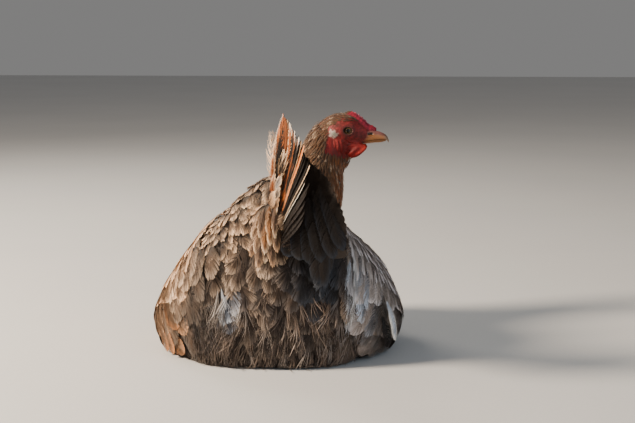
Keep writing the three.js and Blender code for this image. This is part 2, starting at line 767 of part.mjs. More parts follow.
function tailBaseForm(grow = 0) {
  const [from, to] = [vec(TAIL_BASE.from), vec(TAIL_BASE.to)];
  const direction = to.clone().sub(from).normalize();
  const across = V(1, 0, 0);
  const up = new THREE.Vector3().crossVectors(direction, across).normalize();
  const rings = [];
  for (let i = 0; i <= TAIL_BASE.rings; i++) {
    const t = i / TAIL_BASE.rings;
    const at = from.clone().lerp(to, t).addScaledVector(direction, t * grow);
    const round = Math.sqrt(1 - Math.pow(t, 5) * TAIL_BASE.blunt);
    const radius = lerp(TAIL_BASE.radius, TAIL_BASE.tip, t * t) * round + grow;
    rings.push(
      Array.from({ length: TAIL_BASE.sides }, (_, j) => {
        const angle = (j / TAIL_BASE.sides) * 2 * Math.PI;
        const ring = at.clone().addScaledVector(across, radius * Math.cos(angle));
        return ring.addScaledVector(up, radius * TAIL_BASE.flat * Math.sin(angle));
      }),
    );
  }
  return loft(rings);
}

// One wall of the tent: its feathers fan down from the ridge, each tucked under the one above it.
function tailWall({ lower, outFirst, outLast, roots, tips }) {
  const [first, last] = [vec(roots.first), vec(roots.last)];
  const faceAt = (share) => vec(outFirst).lerp(vec(outLast), smooth(share * TAIL_TURN)).normalize();
  const lieOf = (i) => {
    const share = i / (tips.length - 1);
    const out = faceAt(share);
    const tip = vec(tips[Math.floor(i)]).lerp(vec(tips[Math.ceil(i)]), i % 1);
    const root = first.clone().lerp(last, share);
    for (const end of [root, tip]) end.addScaledVector(out, -TAIL_STACK * i);
    return { root, tip, out, tilt: lower * TAIL_TILT };
  };
  const feathers = tips.map((_, i) => freeVane({ ...lieOf(i), ...RECTRIX }));
  for (let n = 0; n < TAIL_COVERTS; n++) {
    const i = lerp(0.5, tips.length - 1.5, n / (TAIL_COVERTS - 1));
    const lie = lieOf(i);
    const long = lerp(...TAIL_COVERT_LONG, i / (tips.length - 1));
    const tip = lie.root.clone().lerp(lie.tip, long).addScaledVector(lie.out, TAIL_COVERT_STAND);
    feathers.push(freeVane({ ...lie, tip, ...TAIL_COVERT }));
  }
  const rear = halfSpace(V(0, TAIL_COLLAR.from, 0), V(0, -1, 0));
  const collar = tailBaseForm(TAIL_COLLAR.grow).intersect(rear);
  return joined([...feathers, collar]);
}

// ---------- The legs ----------

// A tapering round limb between two points, with its lowest side cut flat on the floor.
function limb(from, to, radiusFrom, radiusTo, sides = 6) {
  const direction = to.clone().sub(from);
  const across = new THREE.Vector3().crossVectors(V(0, 0, 1), direction).normalize();
  const up = new THREE.Vector3().crossVectors(direction, across).normalize();
  const ring = (at, radius) =>
    Array.from({ length: sides }, (_, j) => {
      const angle = (j / sides) * 2 * Math.PI;
      const point = at.clone().addScaledVector(across, radius * Math.cos(angle));
      return point.addScaledVector(up, radius * Math.sin(angle));
    });
  const length = direction.length();
  direction.normalize();
  const stops = [-radiusFrom * LIMB_END.past, 0, length, length + radiusTo * LIMB_END.past];
  return loft(
    stops.map((d) => {
      const t = clamp(d / length, 0, 1);
      const radius = lerp(radiusFrom, radiusTo, t) * (d < 0 || d > length ? LIMB_END.radius : 1);
      return ring(from.clone().addScaledVector(direction, d), radius);
    }),
  );
}

const mirrored = (point, side) => V(side * point.x, point.y, point.z);

function toeEnds(side, { yaw, long }) {
  const foot = mirrored(vec(LEG.foot), side);
  const heading = rad(-90 + side * yaw);
  const end = foot.clone().add(V(Math.cos(heading) * long, Math.sin(heading) * long, 0));
  foot.z = LEG.toe - LEG.sole + TOE_RISE;
  end.z = LEG.toe * LEG.taper - LEG.sole;
  return [foot, end];
}

function legForm(side, grow = 0) {
  const hock = mirrored(vec(LEG.hock), side);
  const foot = mirrored(vec(LEG.foot), side);
  hock.z = LEG.shank * LEG.swell - LEG.sole;
  foot.z = LEG.shank - LEG.sole;
  const shank = limb(hock, foot, LEG.shank * LEG.swell + grow, LEG.shank + grow, 8);
  const toes = TOES.map((toe) => {
    const [from, to] = toeEnds(side, toe);
    return limb(from, to, LEG.toe + grow, LEG.toe * LEG.taper + grow);
  });
  return joined([shank, ...toes]);
}

function clawForm(side, toe, grow = 0) {
  const long = CLAW_LONG + CLAW_ROOT + 2 * grow;
  const [from, end] = toeEnds(side, toe);
  const direction = end.clone().sub(from).normalize();
  const toeEnd = LEG.toe * LEG.taper * LIMB_END.past;
  const start = end.clone().addScaledVector(direction, toeEnd - CLAW_ROOT - grow);
  const rings = [0, 0.55, 1].map((t) => {
    const at = start.clone().addScaledVector(direction, long * t);
    const bare = lerp(CLAW_THICK.root, CLAW_THICK.tip, t);
    const radius = bare + grow;
    at.z = lerp(end.z + CLAW_RISE, bare, t);
    const across = V(-direction.y, direction.x, 0);
    return Array.from({ length: 6 }, (_, j) => {
      const angle = (j / 6) * 2 * Math.PI;
      const point = at.clone().addScaledVector(across, radius * Math.cos(angle));
      return point.add(V(0, 0, radius * Math.sin(angle)));
    });
  });
  return loft(rings);
}

// ---------- Fitting the pieces to each other ----------

const nodes = new Map();
const keep = (name, look, form) => nodes.set(name, { look, form: largest(form) });

const body = bodyForm();
const bodyRoom = bodyForm(-SLOPE_GAP);
const headRoom = onHead(
  joined([headForm(SLOPE_GAP), ...SIDES.flatMap((side) => [cheekForm(side, GAP), lobeForm(side, GAP)])]),
);
const headFit = onHead(joined([headForm(GAP), ...SIDES.map((side) => cheekForm(side, GAP))]));
const tailRoom = tailBaseForm(SLOPE_GAP);

let torso = body.intersect(aboveFloor);
for (const side of SIDES) {
  torso = torso.subtract(wingRoom(side, SLOPE_GAP));
  torso = torso.subtract(legForm(side, GAP));
  for (const toe of TOES) torso = torso.subtract(clawForm(side, toe, SLOPE_GAP));
}
torso = torso.subtract(tailRoom);
keep("torso", LOOKS.feather, torso);

const wattleRooms = onHead(joined(SIDES.map((side) => wattleForm(side, GAP))));
keep("neck", LOOKS.neck, neckForm().subtract(bodyRoom).subtract(headRoom).subtract(wattleRooms));

const billUpperRoom = onHead(billHalf(true, GAP));
const billRooms = billUpperRoom.add(onHead(billHalf(false, GAP)));
const nostrils = onHead(joined(SIDES.map(nostril)));
keep("head", LOOKS.face, onHead(makeHead()));
keep("bill_upper", LOOKS.bill, onHead(billHalf(true)).subtract(headFit).subtract(nostrils));
keep("bill_lower", LOOKS.bill, onHead(billHalf(false)).subtract(headFit).subtract(billUpperRoom));
keep("comb", LOOKS.comb, onHead(combForm()).subtract(headFit).subtract(billRooms));
for (const [name, side] of [["right", -1], ["left", 1]]) {
  keep(`eye_${name}`, LOOKS.iris, onHead(eyeAt(side, ball(EYE.radius, EYE.radius, EYE.radius))));
  keep(`wattle_${name}`, LOOKS.wattle, onHead(wattleForm(side)).subtract(headFit).subtract(billRooms));
  keep(`earlobe_${name}`, LOOKS.lobe, onHead(lobeForm(side)).subtract(headFit));
  keep(`wing_${name}`, LOOKS.wing, makeWing(side).intersect(aboveFloor));
  keep(`leg_${name}`, LOOKS.leg, legForm(side).intersect(aboveFloor));
  TOES.forEach((toe, i) => {
    const claw = clawForm(side, toe).subtract(legForm(side, GAP)).intersect(aboveFloor);
    keep(`claw_${name}_${i + 1}`, LOOKS.claw, claw);
  });
}

keep("tail_base", LOOKS.feather, tailBaseForm());
const ridgeYaw = rad(TAIL_RIDGE_YAW);
const ridgeOut = V(Math.cos(ridgeYaw), Math.sin(ridgeYaw), 0);
const ridgeAt = vec(TAIL_RIDGE_AT);
for (const [name, side] of [["left", 1], ["right", -1]]) {
  const edge = ridgeAt.clone().addScaledVector(ridgeOut, (side * GAP) / 2);
  const inner = halfSpace(edge, ridgeOut.clone().multiplyScalar(-side));
  const wall = tailWall(TAIL_WALLS[name]).intersect(inner).subtract(bodyRoom).subtract(tailRoom);
  keep(`tail_${name}`, LOOKS.tail, wall);
}

// ---------- The scene graph ----------

function meshOf(name, { look, form }) {
  const { vertProperties, triVerts, numProp } = form.getMesh();
  const pointAt = (v) => Array.from(vertProperties.slice(v * numProp, v * numProp + 3));
  const positions = Array.from(triVerts).flatMap(pointAt);
  const geometry = new THREE.BufferGeometry();
  geometry.setAttribute("position", new THREE.Float32BufferAttribute(positions, 3));
  geometry.computeVertexNormals();
  const mesh = new THREE.Mesh(geometry, new THREE.MeshStandardMaterial({ metalness: 0, ...look }));
  mesh.name = name;
  return mesh;
}

const hen = new THREE.Group();
for (const [name, node] of nodes) hen.add(meshOf(name, node));

export default hen;
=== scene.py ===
"""Looks of the brooding hen: one skin over the flesh, and her plumage as meshes of barbed feathers."""
import itertools
import math

import bpy
import numpy as np
from mathutils import Euler, Matrix, Vector
from mathutils.bvhtree import BVHTree


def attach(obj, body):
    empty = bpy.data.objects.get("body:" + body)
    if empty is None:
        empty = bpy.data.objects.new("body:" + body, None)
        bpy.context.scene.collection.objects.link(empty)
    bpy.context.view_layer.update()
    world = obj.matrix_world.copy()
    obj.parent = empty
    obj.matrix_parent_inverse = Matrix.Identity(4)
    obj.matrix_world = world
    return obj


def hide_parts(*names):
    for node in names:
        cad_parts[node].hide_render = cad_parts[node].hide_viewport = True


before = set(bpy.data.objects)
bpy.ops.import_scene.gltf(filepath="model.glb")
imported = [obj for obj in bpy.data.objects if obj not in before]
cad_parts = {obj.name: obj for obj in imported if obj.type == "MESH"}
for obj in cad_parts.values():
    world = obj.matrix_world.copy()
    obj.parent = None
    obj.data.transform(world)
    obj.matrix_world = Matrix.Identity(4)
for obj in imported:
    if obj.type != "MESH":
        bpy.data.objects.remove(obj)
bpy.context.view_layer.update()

MM = 0.001
rng = np.random.default_rng(20)

# ---------- The part's own sizes, in millimetres ----------


def table(columns, rows):
    """The rows of a table as one array to each named column."""
    return dict(zip(columns.split(), np.array(rows, float).T))


# Sections of the body along y: heights, half widths and the roundness of the back.
BODY = table("k top width waist under flat arch", [
    (-131, 78, 7, 70, 63, 3, 1.9), (-124, 104, 40, 68, 34, 20, 1.9), (-108, 124, 71, 60, 15, 42, 1.8),
    (-82, 143, 98, 50, 10, 70, 1.6), (-56, 153, 112, 43, 8.5, 90, 1.46), (-44, 158, 118, 40, 0, 97, 1.4),
    (0, 168, 125, 35, 0, 108, 1.3), (38, 178, 120, 35, 0, 104, 1.3), (66, 181, 105, 38, 0, 90, 1.34),
    (88, 160, 86, 44, 0, 74, 1.5), (104, 130, 64, 48, 0, 54, 1.6), (113, 100, 38, 48, 4, 30, 1.7),
    (117, 72, 10, 48, 26, 6, 1.8),
])
BODY_MIDDLE = 2
FLAT_LIMIT = 0.92  # the flat under the belly, as a share of the body's width at most
# Balls strung up the neck, with their radii.
NECK = table("k x y z across along", [
    (0, -6, -40, 92, 50, 46), (1, -16, -56, 124, 43, 42), (2, -26, -70, 150, 34, 36),
    (3, -32, -77, 171, 27.5, 29), (4, -38.5, -79, 187, 26, 22), (5, -43.5, -80, 201, 22, 18),
    (6, -53, -80, 210, 21, 14),
])
HEAD_AT = (-65, -80, 212)
HEAD_PITCH, HEAD_YAW = 7.5, -180  # degrees
# Sections of the head along its own x, in the head's frame: -x is the nape and +x the bill.
HEAD = table("k top base width high", [
    (-25, 8, -9, 7, -1), (-22, 11.5, -13, 12, -2), (-14, 15.4, -17.5, 15.4, -2), (-5, 16.6, -18.6, 15.6, -1),
    (3, 15.4, -18, 13.6, -1), (10, 11.6, -16, 10.6, -2), (16, 8, -14, 8.2, -3), (20, 5, -13, 6.4, -3.5),
])
EYE = {"x": 0, "side": 9.6, "z": 0, "radius": 5}
BILL = table("k ridge gape keel width", [
    (11, 5.4, -10.5, -14, 6.9), (20, 4.2, -8.8, -12.6, 6.6), (29, 3.1, -6.6, -10.5, 5.4),
    (36, 1.7, -5.2, -9.6, 4), (41, -1.1, -5.2, -8.8, 2.6), (44.5, -6.6, -8.8, -8.9, 0.9),
])
BILL_TIP = 43.6
BILL_LOWER_TIP = 40.5
TAIL_BASE = {"from": (0, 70, 118), "to": (-9, 112, 152), "radius": 27, "tip": 13}
# The two walls of the tail: roots and tips of their feathers from the ridge down, and the way that they face.
TAIL_WALLS = {
    "left": {
        "out_first": (0.5, 0.86, 0.1), "out_last": (0.9, 0.36, 0.2),
        "roots": ((-4, 94, 140), (0, 98, 116)),
        "tips": [(-17, 148, 245), (-25, 154, 233), (-33, 160, 220), (-38, 166, 205), (-38, 172, 189),
                 (-34, 178, 173), (-29, 182, 156)],
    },
    "right": {
        "out_first": (-0.5, -0.82, 0.25), "out_last": (-0.86, -0.2, 0.4),
        "roots": ((-12, 94, 140), (-20, 99, 112)),
        "tips": [(-27, 150, 223), (-39, 153, 206), (-49, 155, 197), (-58, 156, 190), (-66, 156, 176),
                 (-72, 153, 160), (-77, 146, 141), (-78, 138, 121)],
    },
}
LEG = {"hock": (34, 10, 9), "foot": (38, -78, 8.5), "shank": 6.6, "toe": 4.6}
TOES = ((-32, 36), (-6, 46), (20, 38), (150, 20))  # the turn of each toe in degrees, and its length
CLAW_LONG = 9

# ---------- Numbers ----------


def smooth(t):
    """An ease from 0 to 1 as t goes from 0 to 1."""
    t = np.clip(t, 0, 1)
    return t * t * (3 - 2 * t)


def mix(a, b, t):
    return a + (b - a) * t


def unit(v):
    return v / np.maximum(np.linalg.norm(v, axis=-1, keepdims=True), 1e-9)


def curve_at(tab, name, k):
    """Catmull-Rom value through a table's rows at k."""
    keys, values = tab["k"], tab[name]
    k = np.asarray(k, float)
    i = np.clip(np.searchsorted(keys, k) - 1, 0, len(keys) - 2)
    before, after = np.maximum(i - 1, 0), np.minimum(i + 2, len(keys) - 1)
    span = keys[i + 1] - keys[i]
    u = np.clip((k - keys[i]) / span, 0, 1)
    slope_in = (values[i + 1] - values[before]) / (keys[i + 1] - keys[before]) * span
    slope_out = (values[after] - values[i]) / (keys[after] - keys[i]) * span
    return ((2 * u**3 - 3 * u**2 + 1) * values[i] + (u**3 - 2 * u**2 + u) * slope_in
            + (3 * u**2 - 2 * u**3) * values[i + 1] + (u**3 - u**2) * slope_out)


def noise(p, scale, seed=0):
    """Smooth value noise in -1..1 at points p, with cells of the given size."""
    q = np.asarray(p, float) / scale + 31.7 * seed
    cell = np.floor(q).astype(np.int64)
    f = smooth(q - cell)
    total = 0.0
    for corner in range(8):
        bits = np.array([corner & 1, corner >> 1 & 1, corner >> 2 & 1])
        c = cell + bits
        h = (c[..., 0] * 73856093 ^ c[..., 1] * 19349663 ^ c[..., 2] * 83492791) & 0xFFFFFF
        h = (h * 1103515245 + 12345) & 0x7FFFFFFF
        weight = np.prod(np.where(bits, f, 1 - f), axis=-1)
        total = total + weight * (h / 0x3FFFFFFF - 1)
    return total


def srgb(*rgb):
    """Linear colour from 0-255 sRGB."""
    c = np.array(rgb, float) / 255
    return np.where(c <= 0.04045, c / 12.92, ((c + 0.055) / 1.055) ** 2.4)


def smooth_min(a, b, k):
    """The lower of two fields, rounded over a width k where they meet."""
    h = np.clip(0.5 + 0.5 * (b - a) / k, 0, 1)
    return mix(b, a, h) - k * h * (1 - h)


# ---------- Fields of the flesh: below zero inside ----------

FAR = 1e3
HEAD_SHIFT = np.array(HEAD_AT, float)
HEAD_TURN = np.array((Matrix.Translation(HEAD_AT) @ Euler((0, 0, math.radians(HEAD_YAW))).to_matrix().to_4x4()
                      @ Euler((0, math.radians(HEAD_PITCH), 0)).to_matrix().to_4x4()).to_3x3())


def to_head(p):
    return (p - HEAD_SHIFT) @ HEAD_TURN


def from_head(p):
    return p @ HEAD_TURN.T + HEAD_SHIFT


def mirrored(p):
    """Points of the head folded over to its left side."""
    return np.stack([p[..., 0], np.abs(p[..., 1]), p[..., 2]], -1)


def section(across, up, arch):
    """How far out a place is in a rounded section, where 1 is the rim."""
    return (np.abs(across) ** arch + np.abs(up) ** arch) ** (1 / arch)


def body_field(p, inset):
    """The body as sections along y, drawn in by an inset."""
    first, last = BODY["k"][0], BODY["k"][-1]
    share = np.clip((p[..., 1] - first) / (last - first), 0, 1)
    y = np.clip(p[..., 1] - inset * (1 - 2 * share), first, last)
    width = np.maximum(curve_at(BODY, "width", y) - inset, 2)
    waist = curve_at(BODY, "waist", y)
    top = np.maximum(curve_at(BODY, "top", y) - inset, waist + 3)
    under = np.maximum(curve_at(BODY, "under", y), 0) + 0.4 * inset
    flat = np.maximum(np.minimum(curve_at(BODY, "flat", y), width * FLAT_LIMIT) - inset, 0)
    x = np.abs(p[..., 0] - BODY_MIDDLE)
    z = p[..., 2]
    upper = section(x / width, (z - waist) / (top - waist), curve_at(BODY, "arch", y))
    lower = section(np.maximum(x - flat, 0) / (width - flat), (waist - z) / (waist - under), 2)
    above = z >= waist
    value = np.where(above, (upper - 1) * np.minimum(width, top - waist),
                     (lower - 1) * np.minimum(width - flat, waist - under))
    ends = np.maximum(p[..., 1] - last + inset, first + inset - p[..., 1])
    return np.maximum(value, ends)


NECK_LINE_T = np.linspace(0, 6, 37)
NECK_LINE = np.stack([curve_at(NECK, n, NECK_LINE_T) for n in "xyz"], axis=-1)
NECK_RADII = np.stack([curve_at(NECK, n, NECK_LINE_T) for n in ("across", "along")], axis=-1)
NECK_UP = unit(np.gradient(NECK_LINE, axis=0))


def neck_field(p, inset):
    """Flattened balls strung up the neck, drawn in by an inset that lessens towards the head."""
    best = np.full(p.shape[:-1], FAR)
    depths = inset * np.linspace(1, 0.4, len(NECK_LINE))
    for centre, up, radii, depth in zip(NECK_LINE, NECK_UP, NECK_RADII, depths):
        across, along = radii - depth
        side = unit(np.cross((0, -1, 0), up))
        fore = unit(np.cross(up, side))
        d = p - centre
        q = np.stack([d @ side / across, d @ fore / along, d @ up / along], -1)
        best = np.minimum(best, (np.linalg.norm(q, axis=-1) - 1) * along)
    return best


TAIL_FROM, TAIL_TO = np.array(TAIL_BASE["from"], float), np.array(TAIL_BASE["to"], float)
TAIL_T = np.linspace(0, 0.86, 12)
TAIL_RADII = mix(TAIL_BASE["radius"], TAIL_BASE["tip"], TAIL_T**2) * 0.92


def tail_field(p, inset):
    """Balls strung closely along the root of the tail."""
    best = np.full(p.shape[:-1], FAR)
    for t, radius in zip(TAIL_T, TAIL_RADII - inset):
        best = np.minimum(best, np.linalg.norm(p - mix(TAIL_FROM, TAIL_TO, t), axis=-1) - radius)
    return best


def ellipsoid(p, centre, radii):
    q = (p - np.array(centre, float)) / np.array(radii, float)
    return (np.linalg.norm(q, axis=-1) - 1) * min(radii)


def torus(p, centre, axis_scale, ring, thick):
    """A lid round the eye: a ring in the head's x and z, squeezed to an almond."""
    q = p - np.array(centre, float)
    flat = np.hypot(q[..., 0] / axis_scale[0], q[..., 2] / axis_scale[1]) - ring
    return np.hypot(flat * min(axis_scale), q[..., 1]) - thick


def before_eye(out, up=0):
    """A place in the head's frame, by how far it stands out from the middle of the eye and above it."""
    return (EYE["x"], EYE["side"] + out, EYE["z"] + up)


WATTLE = {"side": 7.5, "top": -12.5, "drop": 15.8, "thick": 2.1}
WATTLE_SHAPE = table("k middle half", [
    (0, 11, 8.6), (0.2, 11.6, 10.2), (0.42, 10.6, 9.4), (0.66, 9, 7.8), (0.87, 8, 5.2), (1, 7.5, 1.6),
])
# The lids: a middle, how they are squeezed, a radius and a thickness. The other parts: a middle and radii.
LIDS = ((before_eye(3.6, 0.1), (1.14, 0.9), 4.7, 0.75), (before_eye(2.3), (1.12, 0.98), 6.2, 1.0))
EYE_PAD = (before_eye(0.4), (8.2, 4.0, 7.4))
EYE_OPENING = (before_eye(6.4, 0.1), (4.7, 5.4, 3.7))
LOBE = ((-14.5, 14.3, -4.9), (4.2, 2.0, 3.2))
CHEEK = ((-10, 10.8, -16.5), (8.5, 4.6, 9))
JAW = ((5, 6.2, -14.6), (11, 3.4, 4.2))
THROAT_BULGE = ((-7.5, 0, -24), (13.2, 9.5, 18))
COMB = {"from": -6.0, "to": 29.0, "width": 4.6, "height": 5.8, "sink": 1.4, "knobs": 6, "row": 4.1}
PLEAT = 3.9  # from one pleat of the cheek to the next
# How softly each part runs into the ones before it, in millimetres.
BLENDS = {"pad": 2.5, "cheek": 3, "jaw": 3, "throat": 5, "lids": 0.9, "lobe": 1.8, "wattle": 1.6, "comb": 1.2}


def comb_top(x):
    """The height of the head and the root of the bill along x, which the comb sits on."""
    face = curve_at(HEAD, "top", np.minimum(x, HEAD["k"][-1]))
    return np.where(x < BILL["k"][0], face, np.maximum(curve_at(BILL, "ridge", x), face))


def pleats(x, z):
    """A wave of upright pleats over the cheek, from -1 to 1."""
    return np.sin(2 * np.pi * (x + 0.25 * z + 0.5 * np.sin(z * 0.5)) / PLEAT)


def skull_field(p):
    x, y, z = p[..., 0], p[..., 1], p[..., 2]
    first, last = HEAD["k"][0], HEAD["k"][-1]
    k = np.clip(x, first, last)
    high = curve_at(HEAD, "high", k)
    reach = np.where(z > high, curve_at(HEAD, "top", k) - high, high - curve_at(HEAD, "base", k))
    width = curve_at(HEAD, "width", k)
    skull = (section(y / width, (z - high) / reach, 2) - 1) * np.minimum(width, reach)
    return np.maximum(skull, np.maximum(x - last, first - x))


def wattle_field(x, side, z):
    """A thin rippled lobe that hangs from the throat and splays outwards."""
    t = np.clip((WATTLE["top"] - z) / WATTLE["drop"], 0, 1)
    round_off = np.sqrt(np.maximum(np.sin(np.pi * np.clip(mix(0.16, 1, t), 0, 1)), 0.004))
    long = curve_at(WATTLE_SHAPE, "half", t)
    thick = WATTLE["thick"] * np.maximum(round_off, 0.3)
    along = x - curve_at(WATTLE_SHAPE, "middle", t)
    splay = WATTLE["side"] + 1.7 * np.sin(np.pi * np.clip(t * 0.8, 0, 1))
    ripple = 0.45 * np.sin(along * 0.75 + 5 * t) * np.sin(np.pi * t)
    wattle = (np.hypot(along / long, (side - splay - ripple) / thick) - 1) * thick
    return np.maximum(wattle, np.maximum(z - WATTLE["top"], WATTLE["top"] - WATTLE["drop"] - z))


def comb_field(x, y, z):
    """A low comb with rows of knobs along it."""
    u = np.clip((x - COMB["from"]) / (COMB["to"] - COMB["from"]), 0, 1)
    swell = np.sqrt(np.maximum(np.sin(np.pi * mix(0.03, 0.97, u)), 0.01))
    rows = 0.5 * np.cos(np.pi * 2 * y / COMB["row"])
    beat = 2 * np.pi * COMB["knobs"] * 1.5 * u
    knob = 0.42 * np.cos(beat + 1.6 * np.cos(y * 1.5)) * (0.6 + 0.4 * np.cos(y))
    height = np.maximum(COMB["height"] * swell + (rows + knob) * swell, 0.5)
    comb = (np.hypot(y / (COMB["width"] * swell), (z - comb_top(x) + COMB["sink"]) / height) - 1) * height
    return np.maximum(comb * 0.7, np.maximum(x - COMB["to"], COMB["from"] - x))


def head_parts(p):
    """The fields of the head's fleshy parts, in the head's own frame."""
    x, y, z = p[..., 0], p[..., 1], p[..., 2]
    s = mirrored(p)
    folds = 0.45 * np.sin(z * 1.5 + 0.35 * x + 1.2 * np.sin(x * 0.45)) * smooth((-z - 7) / 5)
    return {"skull": skull_field(p) + folds,
            "lids": np.minimum(torus(s, *LIDS[0]), torus(s, *LIDS[1])),
            "pad": ellipsoid(s, *EYE_PAD),
            "cheek": ellipsoid(s, *CHEEK) + 0.3 * pleats(x, z) * smooth((-z - 9) / 3),
            "jaw": ellipsoid(s, *JAW) + folds,
            "throat": ellipsoid(s, *THROAT_BULGE),
            "lobe": ellipsoid(s, *LOBE) + 0.25 * np.sin(1.3 * x + 2.1 * z),
            "wattle": wattle_field(x, s[..., 1], z),
            "comb": comb_field(x, y, z)}


def head_field(p):
    parts = head_parts(p)
    value = parts["skull"]
    for part, blend in BLENDS.items():
        value = smooth_min(value, parts[part], blend)
    side = mirrored(p)
    ball = np.linalg.norm(side - before_eye(0), axis=-1) - (EYE["radius"] + 0.05)
    return np.maximum(value, -np.minimum(ball, ellipsoid(side, *EYE_OPENING)))


# ---------- Meshes ----------


def cells_by(index, others, back):
    """The cells round an edge of the grid, by how many steps back they lie along the two other axes."""
    cell = index.copy()
    cell[:, others] -= back
    return tuple(cell.T)


def surface_of(field, low, high, step):
    """Points and triangles of a field's zero surface, by surface nets."""
    counts = [int(math.ceil((h - l) / step)) + 1 for l, h in zip(low, high)]
    axes = [l + step * np.arange(n) for l, n in zip(low, counts)]
    f = field(np.stack(np.meshgrid(*axes, indexing="ij"), -1))
    for axis in range(3):
        for end in (0, -1):
            f[(slice(None),) * axis + (end,)] = step
    inside = f < 0
    cells = tuple(n - 1 for n in counts)
    total = np.zeros(cells + (3,))
    hits = np.zeros(cells)
    crossings = []
    for axis in range(3):
        a = (slice(None),) * axis + (slice(0, -1),)
        b = (slice(None),) * axis + (slice(1, None),)
        index = np.argwhere(inside[a] != inside[b])
        at = tuple(index.T)
        t = f[a][at] / (f[a][at] - f[b][at])
        point = index.astype(float)
        point[:, axis] += t
        others = [k for k in range(3) if k != axis]
        for back in ((0, 0), (0, 1), (1, 0), (1, 1)):
            c = cells_by(index, others, back)
            np.add.at(total, c, point)
            np.add.at(hits, c, 1)
        crossings.append((axis, others, index, inside[a][at]))
    used = hits > 0
    number = np.full(cells, -1)
    number[used] = np.arange(used.sum())
    points = np.array(low) + step * total[used] / hits[used][:, None]
    faces = []
    for axis, others, index, solid in crossings:
        quad = [number[cells_by(index, others, back)] for back in ((1, 1), (0, 1), (0, 0), (1, 0))]
        flip = solid if axis != 1 else ~solid
        quad = np.where(flip, quad, quad[::-1]).T
        faces += [quad[:, [0, 1, 2]], quad[:, [0, 2, 3]]]
    return points, np.concatenate(faces)


def tube_faces(rings, sides):
    """Quads between rings of points, each ring closed on itself."""
    i, j = np.arange(rings - 1)[:, None] * sides, np.arange(sides)[None]
    k = (j + 1) % sides
    return np.stack([i + j, i + k, i + sides + k, i + sides + j], -1).reshape(-1, 4)


def set_tint(mesh, colour):
    """Gives a mesh a colour to each point."""
    full = np.ones((len(mesh.vertices), 4), np.float32)
    full[:, :3] = colour
    mesh.color_attributes.new("tint", "FLOAT_COLOR", "POINT").data.foreach_set("color", full.ravel())


def mesh_from(name, points, faces, tint=None, bake=None):
    """A mesh in metres from points in millimetres, with a colour to each point and a baking map."""
    mesh = bpy.data.meshes.new(name)
    mesh.vertices.add(len(points))
    mesh.vertices.foreach_set("co", (np.asarray(points, np.float32) * MM).ravel())
    mesh.loops.add(faces.size)
    mesh.loops.foreach_set("vertex_index", faces.astype(np.int32).ravel())
    mesh.polygons.add(len(faces))
    mesh.polygons.foreach_set("loop_start", np.arange(0, faces.size, faces.shape[1], dtype=np.int32))
    mesh.update(calc_edges=True)
    mesh.shade_smooth()
    if tint is not None:
        set_tint(mesh, tint)
    if bake is not None:
        layer = mesh.uv_layers.new(name="OFBake")
        layer.uv.foreach_set("vector", bake[faces.ravel()].astype(np.float32).ravel())
    piece = bpy.data.objects.new(name, mesh)
    bpy.context.scene.collection.objects.link(piece)
    return piece


def settle(piece, material, slot, *replaced):
    """Gives a piece its material and its body, and hides the solids that it stands for. The slot is not used.
    """
    piece.data.materials.append(material)
    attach(piece, "root")
    if replaced:
        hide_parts(*replaced)


def points_of(piece):
    co = np.empty(len(piece.data.vertices) * 3, np.float32)
    piece.data.vertices.foreach_get("co", co)
    return co.reshape(-1, 3).astype(float) / MM


def applied(piece):
    """Applies a piece's modifiers to its mesh."""
    shape = piece.evaluated_get(bpy.context.evaluated_depsgraph_get())
    mesh = bpy.data.meshes.new_from_object(shape)
    piece.modifiers.clear()
    old = piece.data
    piece.data = mesh
    bpy.data.meshes.remove(old)


# How deep the skin lies under the outside of the plumage.
BODY_INSET = 8.0
NECK_INSET = 5.0
TAIL_INSET = 4.0
# How softly the neck and the tail run into the body.
NECK_BLEND = 12
TAIL_BLEND = 6
# The box and the step of the grid that each part of the skin is drawn from.
TRUNK_GRID = ((-135, -140, -6), (135, 130, 240), 3.0)
HEAD_GRID = ((-30, -24, -47), (34, 24, 27), 0.62)


def trunk_field(p):
    value = smooth_min(body_field(p, BODY_INSET), neck_field(p, NECK_INSET), NECK_BLEND)
    return smooth_min(value, tail_field(p, TAIL_INSET), TAIL_BLEND)


def make_skin():
    """The skin of the whole bird as one closed mesh."""
    trunk = mesh_from("skin", *surface_of(trunk_field, *TRUNK_GRID))
    head_points, head_faces = surface_of(head_field, *HEAD_GRID)
    head = mesh_from("head_skin", from_head(head_points), head_faces)
    union = trunk.modifiers.new("head", "BOOLEAN")
    union.operation = "UNION"
    union.object = head
    union.solver = "MANIFOLD"
    applied(trunk)
    bpy.data.objects.remove(head)
    trunk.data.shade_smooth()
    return trunk


skin = make_skin()

# ---------- The skin's colours ----------

FACE_RED = srgb(136, 34, 32)
FACE_DARK = srgb(100, 34, 28)
FACE_PINK = srgb(136, 56, 60)
LID_RED = srgb(84, 27, 26)
LID_RIM = srgb(60, 38, 30)
COMB_RED = srgb(142, 26, 48)
COMB_HIGHLIGHT = srgb(214, 132, 142)
WATTLE_RED = srgb(124, 18, 16)
WATTLE_FRONT = srgb(178, 38, 16)
LOBE_WHITE = srgb(170, 154, 144)
LOBE_HEART = srgb(118, 122, 106)
BODY_SKIN = srgb(84, 70, 62)
THROAT = srgb(112, 66, 44)
LOBE_MIDDLE = ((-13.4, 16, -4.8), (2.4, 4, 2.0))
HEAD_REACH = 46  # how far from the middle of the eyes the colours of the head go


def near(field, width=1.0):
    """1 inside a part, falling to 0 over a width outside it."""
    return smooth(1 - field / width)


def blob(p, centre, radii):
    """1 in the middle of a patch of the plumage, falling to 0 at about its edge."""
    d = np.linalg.norm((p - np.array(centre, float)) / np.array(radii, float), axis=-1)
    return smooth(1.5 - d)


def blended(colour, patches):
    """Colours with patches laid over them in order, each a colour and its share at every point."""
    for tint, amount in patches:
        colour = mix(colour, tint, np.clip(amount, 0, 1)[:, None])
    return colour


